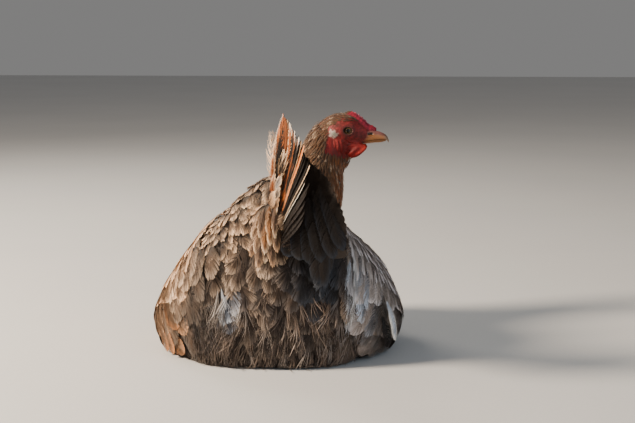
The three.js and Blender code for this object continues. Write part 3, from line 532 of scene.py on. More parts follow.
def bare_face(h):
    """How far a place in the head's frame lies inside the bare face, in millimetres."""
    x, side, z = h[:, 0], np.abs(h[:, 1]), h[:, 2]
    rear = np.where(z > 3, z - 18, np.where(z > -8, -18.5, -19.5))
    chin = np.where(x < -3, -26.5 - 0.15 * (x + 3), np.where(side > 4.5, -27, -21))
    brow = np.where((side > 4.6) & (x < 14), 9.5 + 0.1 * np.maximum(x, 0), 40)
    return np.minimum(np.minimum(x - rear, z - chin), brow - z)


def face_colours(p, h):
    """The mottled and pleated face, with its lids, comb, wattles and lobes."""
    x, side, z = h[:, 0], np.abs(h[:, 1]), h[:, 2]
    parts = head_parts(h)
    grain = noise(p, 2.4, 1) * 0.5 + noise(p, 0.9, 2) * 0.5
    wide = noise(p, 7, 4)
    mottled = 1 + 0.4 * grain[:, None]
    low = smooth((-z - 8) / 4) * smooth((2 - x) / 4)
    # Low on the face the pleats are redder on their ridges and darker in their grooves; the dark of the
    # grooves is painted shade.
    pleat = 0.6 * (0.5 - 0.5 * pleats(x, z)) + 0.5 * smooth(0.5 + 0.8 * noise(p, 3.4, 8))
    rim = np.hypot(x / 1.1, z / 0.95)
    comb, wattle = near(parts["comb"]), near(parts["wattle"])
    # Painted highlight along the top of the comb.
    crest_highlight = comb * smooth((z - comb_top(x) - 2.6) / 2.0)
    # Painted shade in the furrows between the knobs of the comb.
    furrow_shade = comb * smooth(0.2 + 0.8 * np.cos(1.9 * x + 1.5 * side))
    heart = blob(mirrored(h), *LOBE_MIDDLE)
    return blended(mix(FACE_RED, FACE_DARK * 0.7, smooth(0.5 + 0.9 * grain + 0.35 * wide)[:, None]), [
        (FACE_PINK, 0.5 * smooth((z + 7) / 6) * smooth(0.25 - 1.2 * grain + 0.3 * wide)),
        (mix(FACE_DARK * 0.8, WATTLE_RED, np.clip(pleat, 0, 1)[:, None]), 0.8 * low),
        (LID_RED, 0.85 * (smooth((7.6 - rim) / 1.4) * (side > 8))),
        (LID_RIM, 0.9 * (smooth((4.9 - rim) / 0.6) * (side > 8))),
        (COMB_RED * mottled, comb),
        (WATTLE_RED * mottled, wattle),
        (LOBE_WHITE * mottled, near(parts["lobe"] + 0.7 * noise(p, 1.7, 9), 1.1)),
        (LOBE_HEART, 0.9 * heart * near(parts["lobe"], 0.5)),
        (COMB_HIGHLIGHT, 0.8 * crest_highlight * smooth(0.7 + 0.6 * grain)),
        (COMB_RED * 0.45, 0.6 * furrow_shade),
        (WATTLE_FRONT, 0.6 * (wattle * smooth((x - 12) / 7))),
        (WATTLE_RED * 0.5, 0.6 * (wattle * smooth(0.5 + noise(p, 3.2, 6)))),
    ]), grain


def tint_skin():
    """Colours the bare face, and the skin under the plumage in dull tones."""
    p = points_of(skin)
    h = to_head(p)
    colour, grain = face_colours(p, h)
    at_head = np.linalg.norm(h, axis=-1) < HEAD_REACH
    bare = at_head & (bare_face(h) > -3) & (h[:, 0] > -25)
    covered = np.where(at_head[:, None], THROAT, BODY_SKIN) * (1 + 0.15 * grain[:, None])
    set_tint(skin.data, np.where(bare[:, None], colour, covered))


tint_skin()

# ---------- Where feathers grow, and which way they lie ----------

normals = np.array([v.normal for v in skin.data.vertices])
corners = np.empty(len(skin.data.loops), np.int32)
skin.data.loops.foreach_get("vertex_index", corners)
starts = np.array([f.loop_start for f in skin.data.polygons])
face_out = unit(np.stack([np.add.reduceat(normals[corners][:, k], starts) for k in range(3)], -1))
tree = BVHTree.FromObject(skin, bpy.context.evaluated_depsgraph_get())


def cling(points):
    """The nearest place on the skin to each point, with the direction out of the skin there."""
    hits = [tree.find_nearest(p) for p in points * MM]
    at = np.array([hit[0] for hit in hits]) / MM
    return at, face_out[[hit[2] for hit in hits]]


def neck_share(p):
    """How far up the neck the nearest part of its line is, 0 to 1, and the way up there."""
    d = np.linalg.norm(p[:, None, :] - NECK_LINE[None], axis=-1)
    i = d.argmin(1)
    return i / (len(NECK_LINE) - 1), NECK_UP[i]


def lie_at(p):
    """The lie of the coat at points near the skin."""
    h = to_head(p)
    x = p[:, 0] - BODY_MIDDLE
    side, away = np.sign(x), np.clip(np.abs(x) / 100, 0, 1)
    one = np.ones(len(p))
    flow = np.stack([0.3 * side * away, one, -0.35 - 0.5 * away], -1)
    rear = smooth((p[:, 1] - 62) / 36)
    flow = mix(flow, np.stack([0.22 * side * away, 0.45 * one, -one], -1), rear[:, None])
    front = smooth((-48 - p[:, 1]) / 44)
    flow = mix(flow, np.stack([0.3 * side * away, 0.05 * one, -one], -1), front[:, None])
    up = neck_share(p)[1]
    on_neck = smooth(0.5 + (body_field(p, BODY_INSET) - neck_field(p, NECK_INSET)) / 22)
    flow = mix(unit(flow), -up, on_neck[:, None])
    on_head = smooth((27 - np.linalg.norm(h, axis=-1)) / 6)
    flow = mix(flow, HEAD_TURN @ np.array([-1, 0, -0.25]), on_head[:, None])
    return unit(flow)


def scattered(points, spacing):
    """Those points, taken in their order, that keep a spacing from the ones before them."""
    kept = {}
    around = list(itertools.product((-1, 0, 1), repeat=3))
    for p in points:
        x, y, z = (int(v // spacing) for v in p)
        if (x, y, z) in kept:
            continue
        others = (kept.get((x + dx, y + dy, z + dz)) for dx, dy, dz in around)
        if all(q is None or ((q - p) ** 2).sum() >= spacing * spacing for q in others):
            kept[x, y, z] = p
    return np.array(list(kept.values()))


def sample_skin(count):
    """Random places spread evenly over the skin."""
    mesh = skin.data
    mesh.calc_loop_triangles()
    triangles = np.array([t.vertices[:] for t in mesh.loop_triangles])
    co = points_of(skin)[triangles]
    area = np.linalg.norm(np.cross(co[:, 1] - co[:, 0], co[:, 2] - co[:, 0]), axis=-1)
    pick = rng.choice(len(triangles), count, p=area / area.sum())
    u, v = rng.random((2, count))
    fold = u + v > 1
    u, v = np.where(fold, 1 - u, u), np.where(fold, 1 - v, v)
    c = co[pick]
    return c[:, 0] + u[:, None] * (c[:, 1] - c[:, 0]) + v[:, None] * (c[:, 2] - c[:, 0])


GUIDE = 8  # places along the guide line of a feather on the skin
SHOWN = 5  # the place on a guide at the middle of what shows of a feather


def guides(roots, lengths, turn, bend):
    """Lines over the skin from each root, along the lie turned by an angle that grows by bend to the tip."""
    at, out = cling(roots)
    lines, outs = [at], [out]
    for k in range(GUIDE - 1):
        lie = lie_at(at)
        lie = unit(lie - out * (lie * out).sum(-1, keepdims=True))
        aside = np.cross(out, lie)
        angle = (turn + bend * k / (GUIDE - 2))[:, None]
        lie = lie * np.cos(angle) + aside * np.sin(angle)
        at, out = cling(at + lie * (lengths / (GUIDE - 1))[:, None])
        lines.append(at)
        outs.append(out)
    return np.stack(lines, 1), np.stack(outs, 1)


# ---------- Feathers ----------

BARB_AT = {2: (0, 0.6, 1), 3: (0, 0.4, 0.76, 1), 4: (0, 0.3, 0.58, 0.82, 1)}  # bends along a barb
SHAFT_STEPS = 5
SHAFT_GRAIN = 2.0  # the grain of a shaft, where that of a barb is from -1 to 1
WISP_STEPS = 7
STRAND = 0.055  # half the width of a strand of a wisp


def outline_of(quill, full, blunt, point=0.5):
    """Places along a feather and its half width there: a quill that widens to a full vane with a round tip.

    A point of 0.5 makes the tip round, and 1 makes it pointed.
    """
    tip = mix(blunt, 1, np.sin(np.linspace(0, 1.5708, 40)))
    s = np.concatenate([np.linspace(0, blunt, 40, endpoint=False), tip])
    rise = mix(quill, 1, smooth(s / full))
    fall = np.clip((s - blunt) / (1 - blunt), 0, 1)
    return s, rise * np.maximum(1 - fall**2, 0) ** point, blunt


def strip_faces(base, steps):
    """Triangles of a strip whose points come in pairs from a base number on."""
    faces = []
    for q in range(base, base + 2 * steps, 2):
        faces += [(q, q + 1, q + 3), (q, q + 3, q + 2)]
    return faces


def template(points, faces):
    """A feather's points and triangles as arrays by name."""
    shape = {name: np.array(row, float) for name, row in zip(("s", "a", "h", "edge", "grain"), zip(*points))}
    return {**shape, "faces": np.array(faces)}


def feather(outline, barbs, sweep, seed, slim=0.3, bend=3, first=0.1, taper=0.0, fray=0.01, wave=0.0,
            group=5, ridge=0.012, shaft=0.05):
    """One feather in its own plane, as strips for its barbs and its shaft.

    s runs along it, a across it and h out of it. edge grows from 0 at the shaft to 1 at the rim, and grain is
    the barb's own number, or SHAFT_GRAIN on the shaft.
    """
    draw = np.random.default_rng(seed)
    table_s, table_a, blunt = outline
    keep = table_s >= first
    rim_s, rim_a = table_s[keep], table_a[keep]
    length = np.concatenate([[0], np.cumsum(np.hypot(np.diff(rim_s), slim * np.diff(rim_a)))])
    length /= length[-1]
    points, faces = [], []
    stops = BARB_AT[bend]
    for side in (-1, 1):
        groups = draw.normal(0, 1, (barbs // group + 2, 2))
        for j in range(barbs):
            shift, short = groups[(j + (side + 1) * group // 3) // group]
            ends = np.array([j, j + 1]) / barbs
            end_s = np.interp(ends, length, rim_s) + fray * (0.6 * shift + 0.5 * draw.normal())
            end_a = np.interp(ends, length, rim_a)
            end_a = end_a * (1 - fray * (abs(short) + 2 * abs(draw.normal())))
            middle_s, middle_a = end_s.mean(), end_a.mean()
            end_s = middle_s + (end_s - middle_s) * (1 - taper)
            end_a = middle_a + (end_a - middle_a) * (1 - taper)
            start = np.clip(middle_s - sweep * (1 + 0.1 * shift * (fray > 0.03)), 0.02, 0.96)
            start = start + np.array([-0.5, 0.5]) * (1 - first) / barbs
            number = draw.uniform(-1, 1)
            lift, curl = draw.normal(0, fray), draw.normal(0, wave)
            faces += strip_faces(len(points), len(stops) - 1)
            for u in stops:
                for k, e in ((0, -1), (1, 1)):
                    s = start[k] + (end_s[k] - start[k]) * u**1.35
                    a = side * end_a[k] * u * (1.14 - 0.14 * u)
                    h = lift * u + e * ridge + curl * math.sin(2.6 * u)
                    tip = max(s - blunt, 0) / (1 - blunt)
                    wide = np.interp(min(s, blunt), table_s, table_a)
                    points.append((s, a, h, min(math.hypot(a / max(wide, 0.3), tip), 1.1), number))
    if shaft:
        faces += strip_faces(len(points), SHAFT_STEPS)
        for u in np.arange(SHAFT_STEPS + 1) / SHAFT_STEPS:
            points += [(u * 0.97, e * shaft * (1 - 0.75 * u), 0.03, 0.0, SHAFT_GRAIN) for e in (-1, 1)]
    return template(points, faces)


def wisp(strands, seed):
    """A lock of loose hair-like barbs that spread and wave."""
    draw = np.random.default_rng(seed)
    points, faces = [], []
    for _ in range(strands):
        lean, wave, phase = draw.normal(0, 0.7), draw.normal(0, 0.22), draw.uniform(0, 6)
        long, lift, number = draw.uniform(0.6, 1.02), draw.normal(0, 0.3), draw.uniform(-1, 1)
        faces += strip_faces(len(points), WISP_STEPS)
        for k in range(WISP_STEPS + 1):
            u = k / WISP_STEPS
            middle = lean * u**1.3 + wave * math.sin(phase + 4.2 * u) * u
            points += [(u * long, middle + e * STRAND * (1 - u) ** 0.7, lift * u * u + 0.03 * e, u, number)
                       for e in (-1, 1)]
    return template(points, faces)


def variants(count, first_seed, outline, barbs, sweep, **kwargs):
    """Some feathers of one kind, each with its own seed."""
    return [feather(outline, barbs, sweep, first_seed + i, **kwargs) for i in range(count)]


QUILL = {"slim": 0.14, "fray": 0.008, "first": 0.06}  # what the long stiff feathers share
# Each kind of feather: how many shapes it has, their first seed, outline, barbs and sweep, and its own marks.
KINDS = {
    "cover": variants(8, 100, outline_of(0.35, 0.42, 0.36), 20, 0.3, slim=0.4, fray=0.04, first=0.2,
                      taper=0.14, ridge=0.018, group=4),
    "plume": variants(10, 200, outline_of(0.4, 0.45, 0.5), 44, 0.32, bend=4, fray=0.035, taper=0.22,
                      wave=0.03, first=0.1, ridge=0.006, group=7, shaft=0.02),
    "fluff": variants(10, 300, outline_of(0.5, 0.4, 0.5), 30, 0.46, bend=4, fray=0.12, taper=0.6,
                      wave=0.09, first=0.05, ridge=0.006, group=4, shaft=0.015),
    "down": variants(3, 350, outline_of(0.5, 0.3, 0.6), 20, 0.2, bend=3, fray=0.05, taper=0.8, wave=0.05,
                     first=0.05, group=3, shaft=0.04),
    "hackle": variants(6, 400, outline_of(0.4, 0.35, 0.35), 6, 0.36, slim=0.2, bend=2, fray=0.04, taper=0.3,
                       first=0.2, shaft=0.06),
    "tiny": variants(4, 500, outline_of(0.5, 0.3, 0.4), 3, 0.4, bend=2, fray=0.06, taper=0.3, first=0.25,
                     shaft=0),
    "flight": variants(5, 600, outline_of(0.4, 0.22, 0.8), 56, 0.13, ridge=0.01, group=9, shaft=0.035,
                       **QUILL),
    "rectrix": variants(6, 700, outline_of(0.3, 0.45, 0.72, 0.55), 60, 0.13, ridge=0.008, group=8, **QUILL),
    "spear": variants(3, 720, outline_of(0.3, 0.5, 0.6, 0.9), 64, 0.14, ridge=0.008, group=8, **QUILL),
    "drape": variants(6, 750, outline_of(0.4, 0.4, 0.7), 52, 0.16, slim=0.2, fray=0.014, first=0.06,
                      ridge=0.006, group=7, shaft=0.03, taper=0.05),
    "wisp": [wisp(11, 800 + i) for i in range(10)],
}
FLOOR_GAP = 0.5  # the least height of a feather over the floor
FLOOR_NEAR = 2.0  # the height below which feathers pile up on the floor
FLOOR_PILE = 1.2  # how high they pile up


def dress(kind, lines, outs, widths, paint, rise, camber=0.25, roll=None):
    """Lays feathers of a kind along guide lines.

    rise(s, n) is how high feathers n stand over their lines, and paint(shape, n) gives their colours.
    """
    templates = KINDS[kind]
    choice = rng.integers(0, len(templates), len(lines))
    along = unit(np.gradient(lines, axis=1))
    aside = unit(np.cross(outs, along))
    outward = unit(np.cross(along, aside))
    if roll is not None:
        c, d = np.cos(roll)[:, None, None], np.sin(roll)[:, None, None]
        aside, outward = aside * c + outward * d, outward * c - aside * d
    steps = lines.shape[1] - 1
    made = []
    for number, shape in enumerate(templates):
        n = np.flatnonzero(choice == number)
        if not len(n):
            continue
        s = shape["s"]
        i = np.clip((s * steps).astype(int), 0, steps - 1)
        f = (s * steps - i)[None, :, None]

        def between(values, n=n, i=i, f=f):
            return values[n][:, i] * (1 - f) + values[n][:, i + 1] * f

        wide = widths[n][:, None, None]
        a, h = shape["a"][None, :, None], shape["h"][None, :, None]
        high = rise(s, n)[..., None] + wide * (h - camber * a * a)
        points = between(lines) + between(aside) * a * wide + between(outward) * high
        low = np.maximum(FLOOR_NEAR - points[..., 2], 0)
        points[..., 2] = np.maximum(points[..., 2], FLOOR_GAP + FLOOR_PILE * np.exp(-low / 3) * (low > 0))
        made.append((points, shape, paint(shape, n), n))
    return made


# Areas of the baking map for the body, the neck and the head: start and size across, then along.
BODY_MAP = (0.02, 0.62, 0.02, 0.96)
NECK_MAP = (0.66, 0.32, 0.02, 0.45)
HEAD_MAP = (0.66, 0.32, 0.5, 0.46)


def turn_of(a, b):
    """The angle of a direction, as a share of a full turn."""
    return np.arctan2(a, b) / (2 * np.pi) + 0.5


def on_map(area, across, along):
    return np.stack([area[0] + area[1] * across, area[2] + area[3] * along], -1)


def unwrap(p):
    """Where a place on the skin lies on a flat unwrap of the skin: body, neck and head side by side."""
    h = to_head(p)
    share = neck_share(p)[0]
    d = p - NECK_LINE[(share * (len(NECK_LINE) - 1)).astype(int)]
    on_neck = neck_field(p, NECK_INSET) < body_field(p, BODY_INSET)
    on_head = np.linalg.norm(h, axis=-1) < 26
    body = on_map(BODY_MAP, turn_of(p[:, 0] - BODY_MIDDLE, p[:, 2] - 60),
                  np.clip((p[:, 1] + 131) / 320, 0, 1))
    place = np.where(on_neck[:, None], on_map(NECK_MAP, turn_of(d[:, 1], d[:, 0]), share), body)
    head = on_map(HEAD_MAP, turn_of(h[:, 2], h[:, 1]), np.clip((h[:, 0] + 30) / 60, 0, 1))
    return np.where(on_head[:, None], head, place)


PATCH = 0.003  # the size of one feather's own patch of the baking map
FULL = 180000  # triangles that a piece of a coat may have


def coat(name, layers, roots, material, slot, replaced=()):
    """Joins dressed feathers into pieces that stay under the limit of triangles for one piece."""
    parts, made, size, verts = [], 0, 0, 0

    def close():
        nonlocal parts, made, size, verts
        made += 1
        piece = mesh_from(f"{name}_{made}", *(np.concatenate(column) for column in zip(*parts)))
        settle(piece, material, slot, *(replaced if made == 1 else ()))
        parts, size, verts = [], 0, 0

    for cloud, shape, tint, n in layers:
        patch = np.stack([shape["a"] * 0.5, shape["s"] - 0.5], -1) * PATCH
        bake = unwrap(roots[n])[:, None, :] + patch[None]
        per, points_each = len(shape["faces"]), cloud.shape[1]
        first = 0
        while first < len(cloud):
            fit = (FULL - size) // per
            if fit < 1:
                close()
                continue
            some = slice(first, first + fit)
            count = len(cloud[some])
            grid = shape["faces"][None] + (np.arange(count) * points_each)[:, None, None] + verts
            parts.append((cloud[some].reshape(-1, 3), grid.reshape(-1, 3),
                          np.broadcast_to(tint, cloud.shape)[some].reshape(-1, 3), bake[some].reshape(-1, 2)))
            first += count
            size += count * per
            verts += count * points_each
    close()


# ---------- Materials ----------


def material_of(name, roughness, specular=0.4, sheen=0.0, coarse=(120, 0.16), fine=(900, 0.14), bump=0.0,
                subsurface=0.0, varnish=0.0):
    """A material that takes its markings from the mesh and mottles them at two scales."""
    mat = bpy.data.materials.new(name)
    mat.use_nodes = True
    nodes, links = mat.node_tree.nodes, mat.node_tree.links
    shader = nodes["Principled BSDF"]
    settings = {"Roughness": roughness, "Specular IOR Level": specular, "Sheen Weight": sheen,
                "Sheen Roughness": 0.5, "Subsurface Weight": subsurface,
                "Subsurface Radius": (0.004, 0.0014, 0.0008), "Coat Weight": varnish, "Coat Roughness": 0.05}
    for key, value in settings.items():
        shader.inputs[key].default_value = value
    marks = nodes.new("ShaderNodeAttribute")
    marks.attribute_name = "tint"
    place = nodes.new("ShaderNodeTexCoord")
    colour = marks.outputs["Color"]
    for scale, strength in (coarse, fine):
        grain = nodes.new("ShaderNodeTexNoise")
        grain.inputs["Scale"].default_value = scale
        grain.inputs["Detail"].default_value = 4
        links.new(place.outputs["Object"], grain.inputs["Vector"])
        level = nodes.new("ShaderNodeMapRange")
        span = {"From Min": 0.3, "From Max": 0.7, "To Min": 1 - strength, "To Max": 1 + strength}
        for key, value in span.items():
            level.inputs[key].default_value = value
        links.new(grain.outputs["Fac"], level.inputs["Value"])
        blend = nodes.new("ShaderNodeMix")
        blend.data_type = "RGBA"
        blend.blend_type = "MULTIPLY"
        blend.inputs["Factor"].default_value = 1
        links.new(colour, blend.inputs[6])
        links.new(level.outputs["Result"], blend.inputs[7])
        colour = blend.outputs[2]
    links.new(colour, shader.inputs["Base Color"])
    if bump:
        relief = nodes.new("ShaderNodeBump")
        relief.inputs["Strength"].default_value = bump
        relief.inputs["Distance"].default_value = 0.0006
        links.new(grain.outputs["Fac"], relief.inputs["Height"])
        links.new(relief.outputs["Normal"], shader.inputs["Normal"])
    return mat


PLUME = material_of("plume", 0.7, 0.25, sheen=0.2)
STIFF = material_of("stiff_plume", 0.6, 0.25, sheen=0.0)
SKIN = material_of("bare_skin", 0.6, 0.35, coarse=(160, 0.14), fine=(1400, 0.2), bump=0.55, subsurface=0.08)
skin.data.materials.clear()
settle(skin, SKIN, "face_skin", "torso", "neck", "head", "comb", "wattle_right", "wattle_left",
       "earlobe_right", "earlobe_left", "wing_right", "wing_left", "tail_base")

# ---------- Colours of the plumage ----------

CREAM = srgb(255, 218, 182)
BUFF = srgb(206, 164, 126)
PEACH = srgb(214, 146, 96)
UMBER = srgb(98, 74, 58)
SOOT = srgb(36, 30, 28)
ASH = srgb(150, 140, 134)
GOLD = srgb(160, 104, 56)
AMBER = srgb(190, 106, 44)
BLUE_GREY = srgb(128, 138, 154)
NIGHT = srgb(42, 46, 54)
PALE_BLUE = srgb(206, 214, 228)
SILVER = srgb(206, 204, 204)
# The dark down at the roots of feathers, which also serves as painted shade in the gaps between them.
DOWN_AND_GAP_SHADE = srgb(74, 62, 56)
WHITE = srgb(246, 238, 226)
RUST = srgb(200, 110, 52)
BROWN = srgb(142, 110, 84)
PALE_LOCK = srgb(224, 214, 208)
INK = mix(SOOT, UMBER, 0.08) * 0.6
# A dark brown for the low body and the gaps in the locks: partly the plumage's own colour, partly painted
# shade.
LOW_SHADE_BROWN = mix(BROWN, ASH, 0.6) * 0.24
# Pale plumes at her right, tinted blue: partly the cool tint of the shade painted in.
WHITE_IN_COOL_SHADE = PALE_BLUE * 1.2
SHAFT_LEVEL = 1.5  # a grain above this is a shaft

# Patches of the plumage: a middle and radii in millimetres.
UNDERTAIL = ((-47, 112, 100), (25, 44, 46))
DARK_SPOT = ((-22, 112, 84), (11, 24, 11))
DARK_POCKET = ((2, 112, 64), (15, 24, 9))
BLUE_SPOT = ((-44, 112, 82), (26, 30, 28))
WHITE_LOCK = ((38, 98, 57), (11, 22, 11))
LOCKS = ((54, 92, 50), (26, 30, 28))
CURTAIN = ((-82, 70, 92), (12, 60, 50))
RIGHT_FLANK = ((-102, 50, 60), (26, 60, 60))
LEFT_LOW = ((92, 50, 40), (34, 60, 44))
NAPE = ((-43, -80, 221), (7, 20, 8))
THROAT_FRONT = ((-60, -80, 160), (12, 26, 24))


def blotched(colour, along, across, n, blotch):
    """Colours of feathers n with blotches over them. blotch is a colour and its share of the vane."""
    spot = np.stack([along + 0 * n[:, None], across + 0 * n[:, None], 9.7 * n[:, None] + 0 * along], -1)
    return mix(colour, blotch[0], smooth((noise(spot, 0.6, 21) + 2 * blotch[1] - 1) / 0.3)[..., None])


def painter(centre, edge, down, sharp=(0.35, 0.95), bed=0.45, streak=0.12, shaft=1.15, blotch=None):
    """Colours feathers from their middle to their rim, over the down at their root, which is partly painted
    shade between them.

    centre, edge and down hold a colour to each feather, and blotch is a colour and its share.
    """
    def paint(shape, n):
        s, a, grain = shape["s"][None], shape["a"][None], shape["grain"][None]
        rim = smooth((shape["edge"][None] + 0.05 * grain - sharp[0]) / (sharp[1] - sharp[0]))[..., None]
        colour = mix(centre[n][:, None], edge[n][:, None], rim)
        if blotch is not None:
            colour = blotched(colour, s * 5, a * 1.3 + s * 2, n, blotch)
        colour = mix(colour, down[n][:, None], smooth(1.2 - s / bed)[..., None])
        level = np.where(grain > SHAFT_LEVEL, shaft, 1 + streak * grain)[..., None]
        return np.clip(colour * level, 0, 1)
    return paint


def banded(body, bands, blotch, streak=0.12):
    """Colours feathers in bands across the vane, from -1 at one rim to 1 at the other.

    body holds a colour to each feather. A band is its two ends, its colour and where along the vane it
    starts, and blotch is a colour and its share.
    """
    def paint(shape, n):
        s, grain = shape["s"][None], shape["grain"]
        across = np.sign(shape["a"]) * shape["edge"]
        colour = body[n][:, None] * np.ones((1, len(across), 1))
        colour = blotched(colour, s * 7, across * 1.6 + s * 4, n, blotch)
        across = across + 0.04 * grain * (grain < SHAFT_LEVEL)
        for low, high, tint, start in bands:
            share = smooth((across - low) / 0.08 + 0.5) * smooth((high - across) / 0.08 + 0.5)
            share = share * smooth((shape["s"] - start) / 0.1 + 0.5)
            colour = mix(colour, tint, share[None, :, None])
        return np.clip(colour * np.where(grain > SHAFT_LEVEL, 1.3, 1 + streak * grain)[None, :, None], 0, 1)
    return paint


def jitter(count, amount):
    return 1 + amount * rng.uniform(-1, 1, count)


def shades(base, patches, count, spread):
    """One colour to each root: a base colour with patches blended over it, in order, a little uneven."""
    colour = blended(np.ones((count, 1)) * base, patches)
    return colour * (1 + spread * rng.normal(0, 1, count))[:, None]


def body_shades(p):
    """Centre, edge and down colours for body feathers that show at p."""
    count = len(p)
    patch, fleck = noise(p, 26, 7), rng.normal(0, 1, count)
    dark, blue = smooth(1.7 * blob(p, *UNDERTAIL)), blob(p, *BLUE_SPOT)
    spot, white = np.maximum(blob(p, *DARK_SPOT), 0.8 * blob(p, *DARK_POCKET)), blob(p, *WHITE_LOCK)
    # The right flank's edges are bluer: partly the cool tint of the shade there painted in.
    flank, curtain = blob(p, *RIGHT_FLANK), smooth(1.5 * blob(p, *CURTAIN))
    # low and locks lay that dark brown on: partly the plumage's own colour, partly painted shade low on the
    # body.
    warm, locks, low = blob(p, *LEFT_LOW), blob(p, *LOCKS), smooth((64 - p[:, 2]) / 26)
    # rear darkens the plumage towards the tail: partly its own darker colour, partly painted shade.
    rear = smooth((p[:, 1] - 60) / 30) * smooth((130 - p[:, 2]) / 40)
    collar = smooth((18 - neck_field(p, NECK_INSET)) / 22 + 0.25 * fleck)
    edge = shades(CREAM, [
        (BUFF, 0.1 + 0.4 * patch + 0.16 * fleck), (ASH, 0.35 * (fleck < -0.7)),
        (mix(GOLD, BUFF, 0.3), 0.85 * collar), (ASH * 0.4, 0.72 * rear),
        (mix(PALE_BLUE, CREAM, 0.3) * 1.1, 0.9 * flank), (LOW_SHADE_BROWN, 0.9 * low),
        (LOW_SHADE_BROWN * 0.7, 0.8 * locks), (WHITE_IN_COOL_SHADE, 0.95 * curtain),
        (mix(UMBER * 0.34, NIGHT * 1.6, 0.6), 0.98 * dark), (BLUE_GREY * 0.24, 0.8 * blue),
        (mix(UMBER, BLUE_GREY, 0.4) * 0.3, 0.9 * spot), (PALE_BLUE, 0.9 * white)], count, 0.12)
    centre = shades(mix(BUFF, ASH, 0.1) * 0.7, [
        (UMBER * 0.6, 0.7 + 0.25 * fleck), (UMBER * 0.4, 0.7 * rear), (ASH * 0.7, 0.6 * flank),
        (LOW_SHADE_BROWN * 0.5, 0.8 * low), (BROWN * 0.6, 0.5 * warm), (UMBER * 0.22, 0.8 * locks),
        (WHITE_IN_COOL_SHADE * 0.4, 0.8 * curtain), (SOOT, 0.95 * dark), (BLUE_GREY * 0.1, 0.8 * blue), (SOOT, 0.9 * spot),
        (BLUE_GREY, 0.9 * white)], count, 0.1)
    return centre, edge, shades(DOWN_AND_GAP_SHADE * 0.5, [(SOOT, 0.8 * np.maximum(dark, spot))], count, 0.06)


def pale_shades(p):
    """Colours of the loose pale barbs over the fluff."""
    fleck = rng.normal(0, 1, len(p))
    white = blob(p, *WHITE_LOCK)
    rich = np.clip(blob(p, *LOCKS) + white, 0, 1)
    edge = shades(mix(BROWN, ASH, 0.5) * 0.6, [
        (UMBER * 0.8, 0.3 + 0.3 * fleck), (PALE_LOCK * 0.75, 0.55 * rich + 0.3 * fleck),
        (PALE_BLUE, 0.9 * white), (UMBER * 0.6, 0.9 * blob(p, *UNDERTAIL))], len(p), 0.1)
    return edge * 0.8, edge, edge * 0.5


def curtain_shades(p):
    """Colours of the long pale plumes that hang at her right, blue-white partly as the cool tint of the shade
    painted in.
    """
    fleck = rng.normal(0, 1, len(p))
    edge = shades(WHITE_IN_COOL_SHADE, [(WHITE, 0.3 + 0.3 * fleck), (ASH, 0.6 * (fleck < -0.6))], len(p), 0.06)
    return edge * 0.75, edge, edge * 0.5


def neck_shades(p):
    """Centre, edge and down colours for the feathers of the neck and head."""
    count = len(p)
    speck = rng.normal(0, 1, count)
    low = smooth((140 - p[:, 2]) / 40)
    edge = shades(mix(GOLD, BROWN, 0.3), [(BUFF, 0.12 + 0.3 * speck + 0.3 * low), (CREAM, 0.2 * low)],
                  count, 0.1)
    fore = smooth((-42 - p[:, 0]) / 14) * smooth((202 - p[:, 2]) / 12)
    edge = mix(edge, AMBER, 0.8 * fore[:, None]) * (1 + 0.2 * noise(p, 13, 3))[:, None]
    edge = edge * mix(0.28, 0.6, fore)[:, None]
    edge = mix(edge, CREAM * 0.6, (0.5 * (speck > 1.2))[:, None])
    centre = mix(edge, UMBER * 0.3, np.clip(0.7 + 0.22 * speck, 0, 1)[:, None])
    return centre, edge, shades(UMBER * 0.6, [], count, 0.06)


def lay(name, kind, roots, lengths, widths, shade, high, slot, low=1.0, stray=0.0, swirl=0.15, curl=0.1,
        camber=0.25, **marks):
    """A coat of one kind of feather from roots on the skin."""
    count = len(roots)
    turn = swirl * (1.5 * noise(roots, 24, 13) + 0.6 * rng.normal(0, 1, count))
    lines, outs = guides(roots, lengths, turn, rng.normal(0, curl, count))
    colours = shade(lines[:, SHOWN])
    tip = high * (1 + rng.normal(0, 0.1, count)) + stray * np.abs(rng.normal(0, 1, count))
    base = low * np.ones(count)

    def rise(s, n):
        return mix(base[n][:, None], tip[n][:, None], np.clip(s, 0, 1.2)[None] ** 0.8)

    paint = painter(*colours, **marks)
    layers = dress(kind, lines, outs, widths, paint, rise, camber, rng.normal(0, 0.1, count))
    coat(name, layers, roots, PLUME, slot)


# ---------- Small feathers over the body, neck and head ----------


def within(values, low, high):
    return (low < values) & (values < high)


# The upper rim of the wings, as places from front to rear and their heights.
WING_RIM = ((-80, -64, 6, 50, 78), (56, 66, 132, 116, 84))
POOL = 120000  # places on the skin that roots are taken from
pool = sample_skin(POOL)
pool_x, pool_y, pool_z = pool.T
pool_body = body_field(pool, BODY_INSET)
pool_neck = neck_field(pool, NECK_INSET)
pool_head = to_head(pool)
aside = np.abs(pool_x - BODY_MIDDLE)
far_head = np.linalg.norm(pool_head, axis=-1)
feathered = bare_face(pool_head) < -0.5
on_neck = (pool_neck < pool_body - 2) & (feathered | (far_head > 48))
on_head = on_neck & (far_head < 30)
on_stub = (tail_field(pool, TAIL_INSET) < 1.5) & (pool_y > 104) & (pool_z > 122)
in_wing = within(pool_y, -74, 74) & (pool_z < np.interp(pool_y, *WING_RIM) - 12) & (aside > 40)
under_belly = (pool_z < 8) & (aside < 75)
in_body = (pool_neck > pool_body - 2) & ~in_wing & ~under_belly & ~on_stub
rear_share = smooth((pool_y - 60) / 24)
fluffy = rear_share * smooth((70 - pool_z) / 30) + 0.4 * smooth((26 - pool_z) / 16)
fluffy = fluffy + 0.12 * noise(pool, 18, 5)
soft_top = 150 - 0.6 * np.maximum(pool_x - 10, 0)
soft = rear_share * smooth((soft_top - pool_z) / 24) + 0.12 * noise(pool, 18, 6)
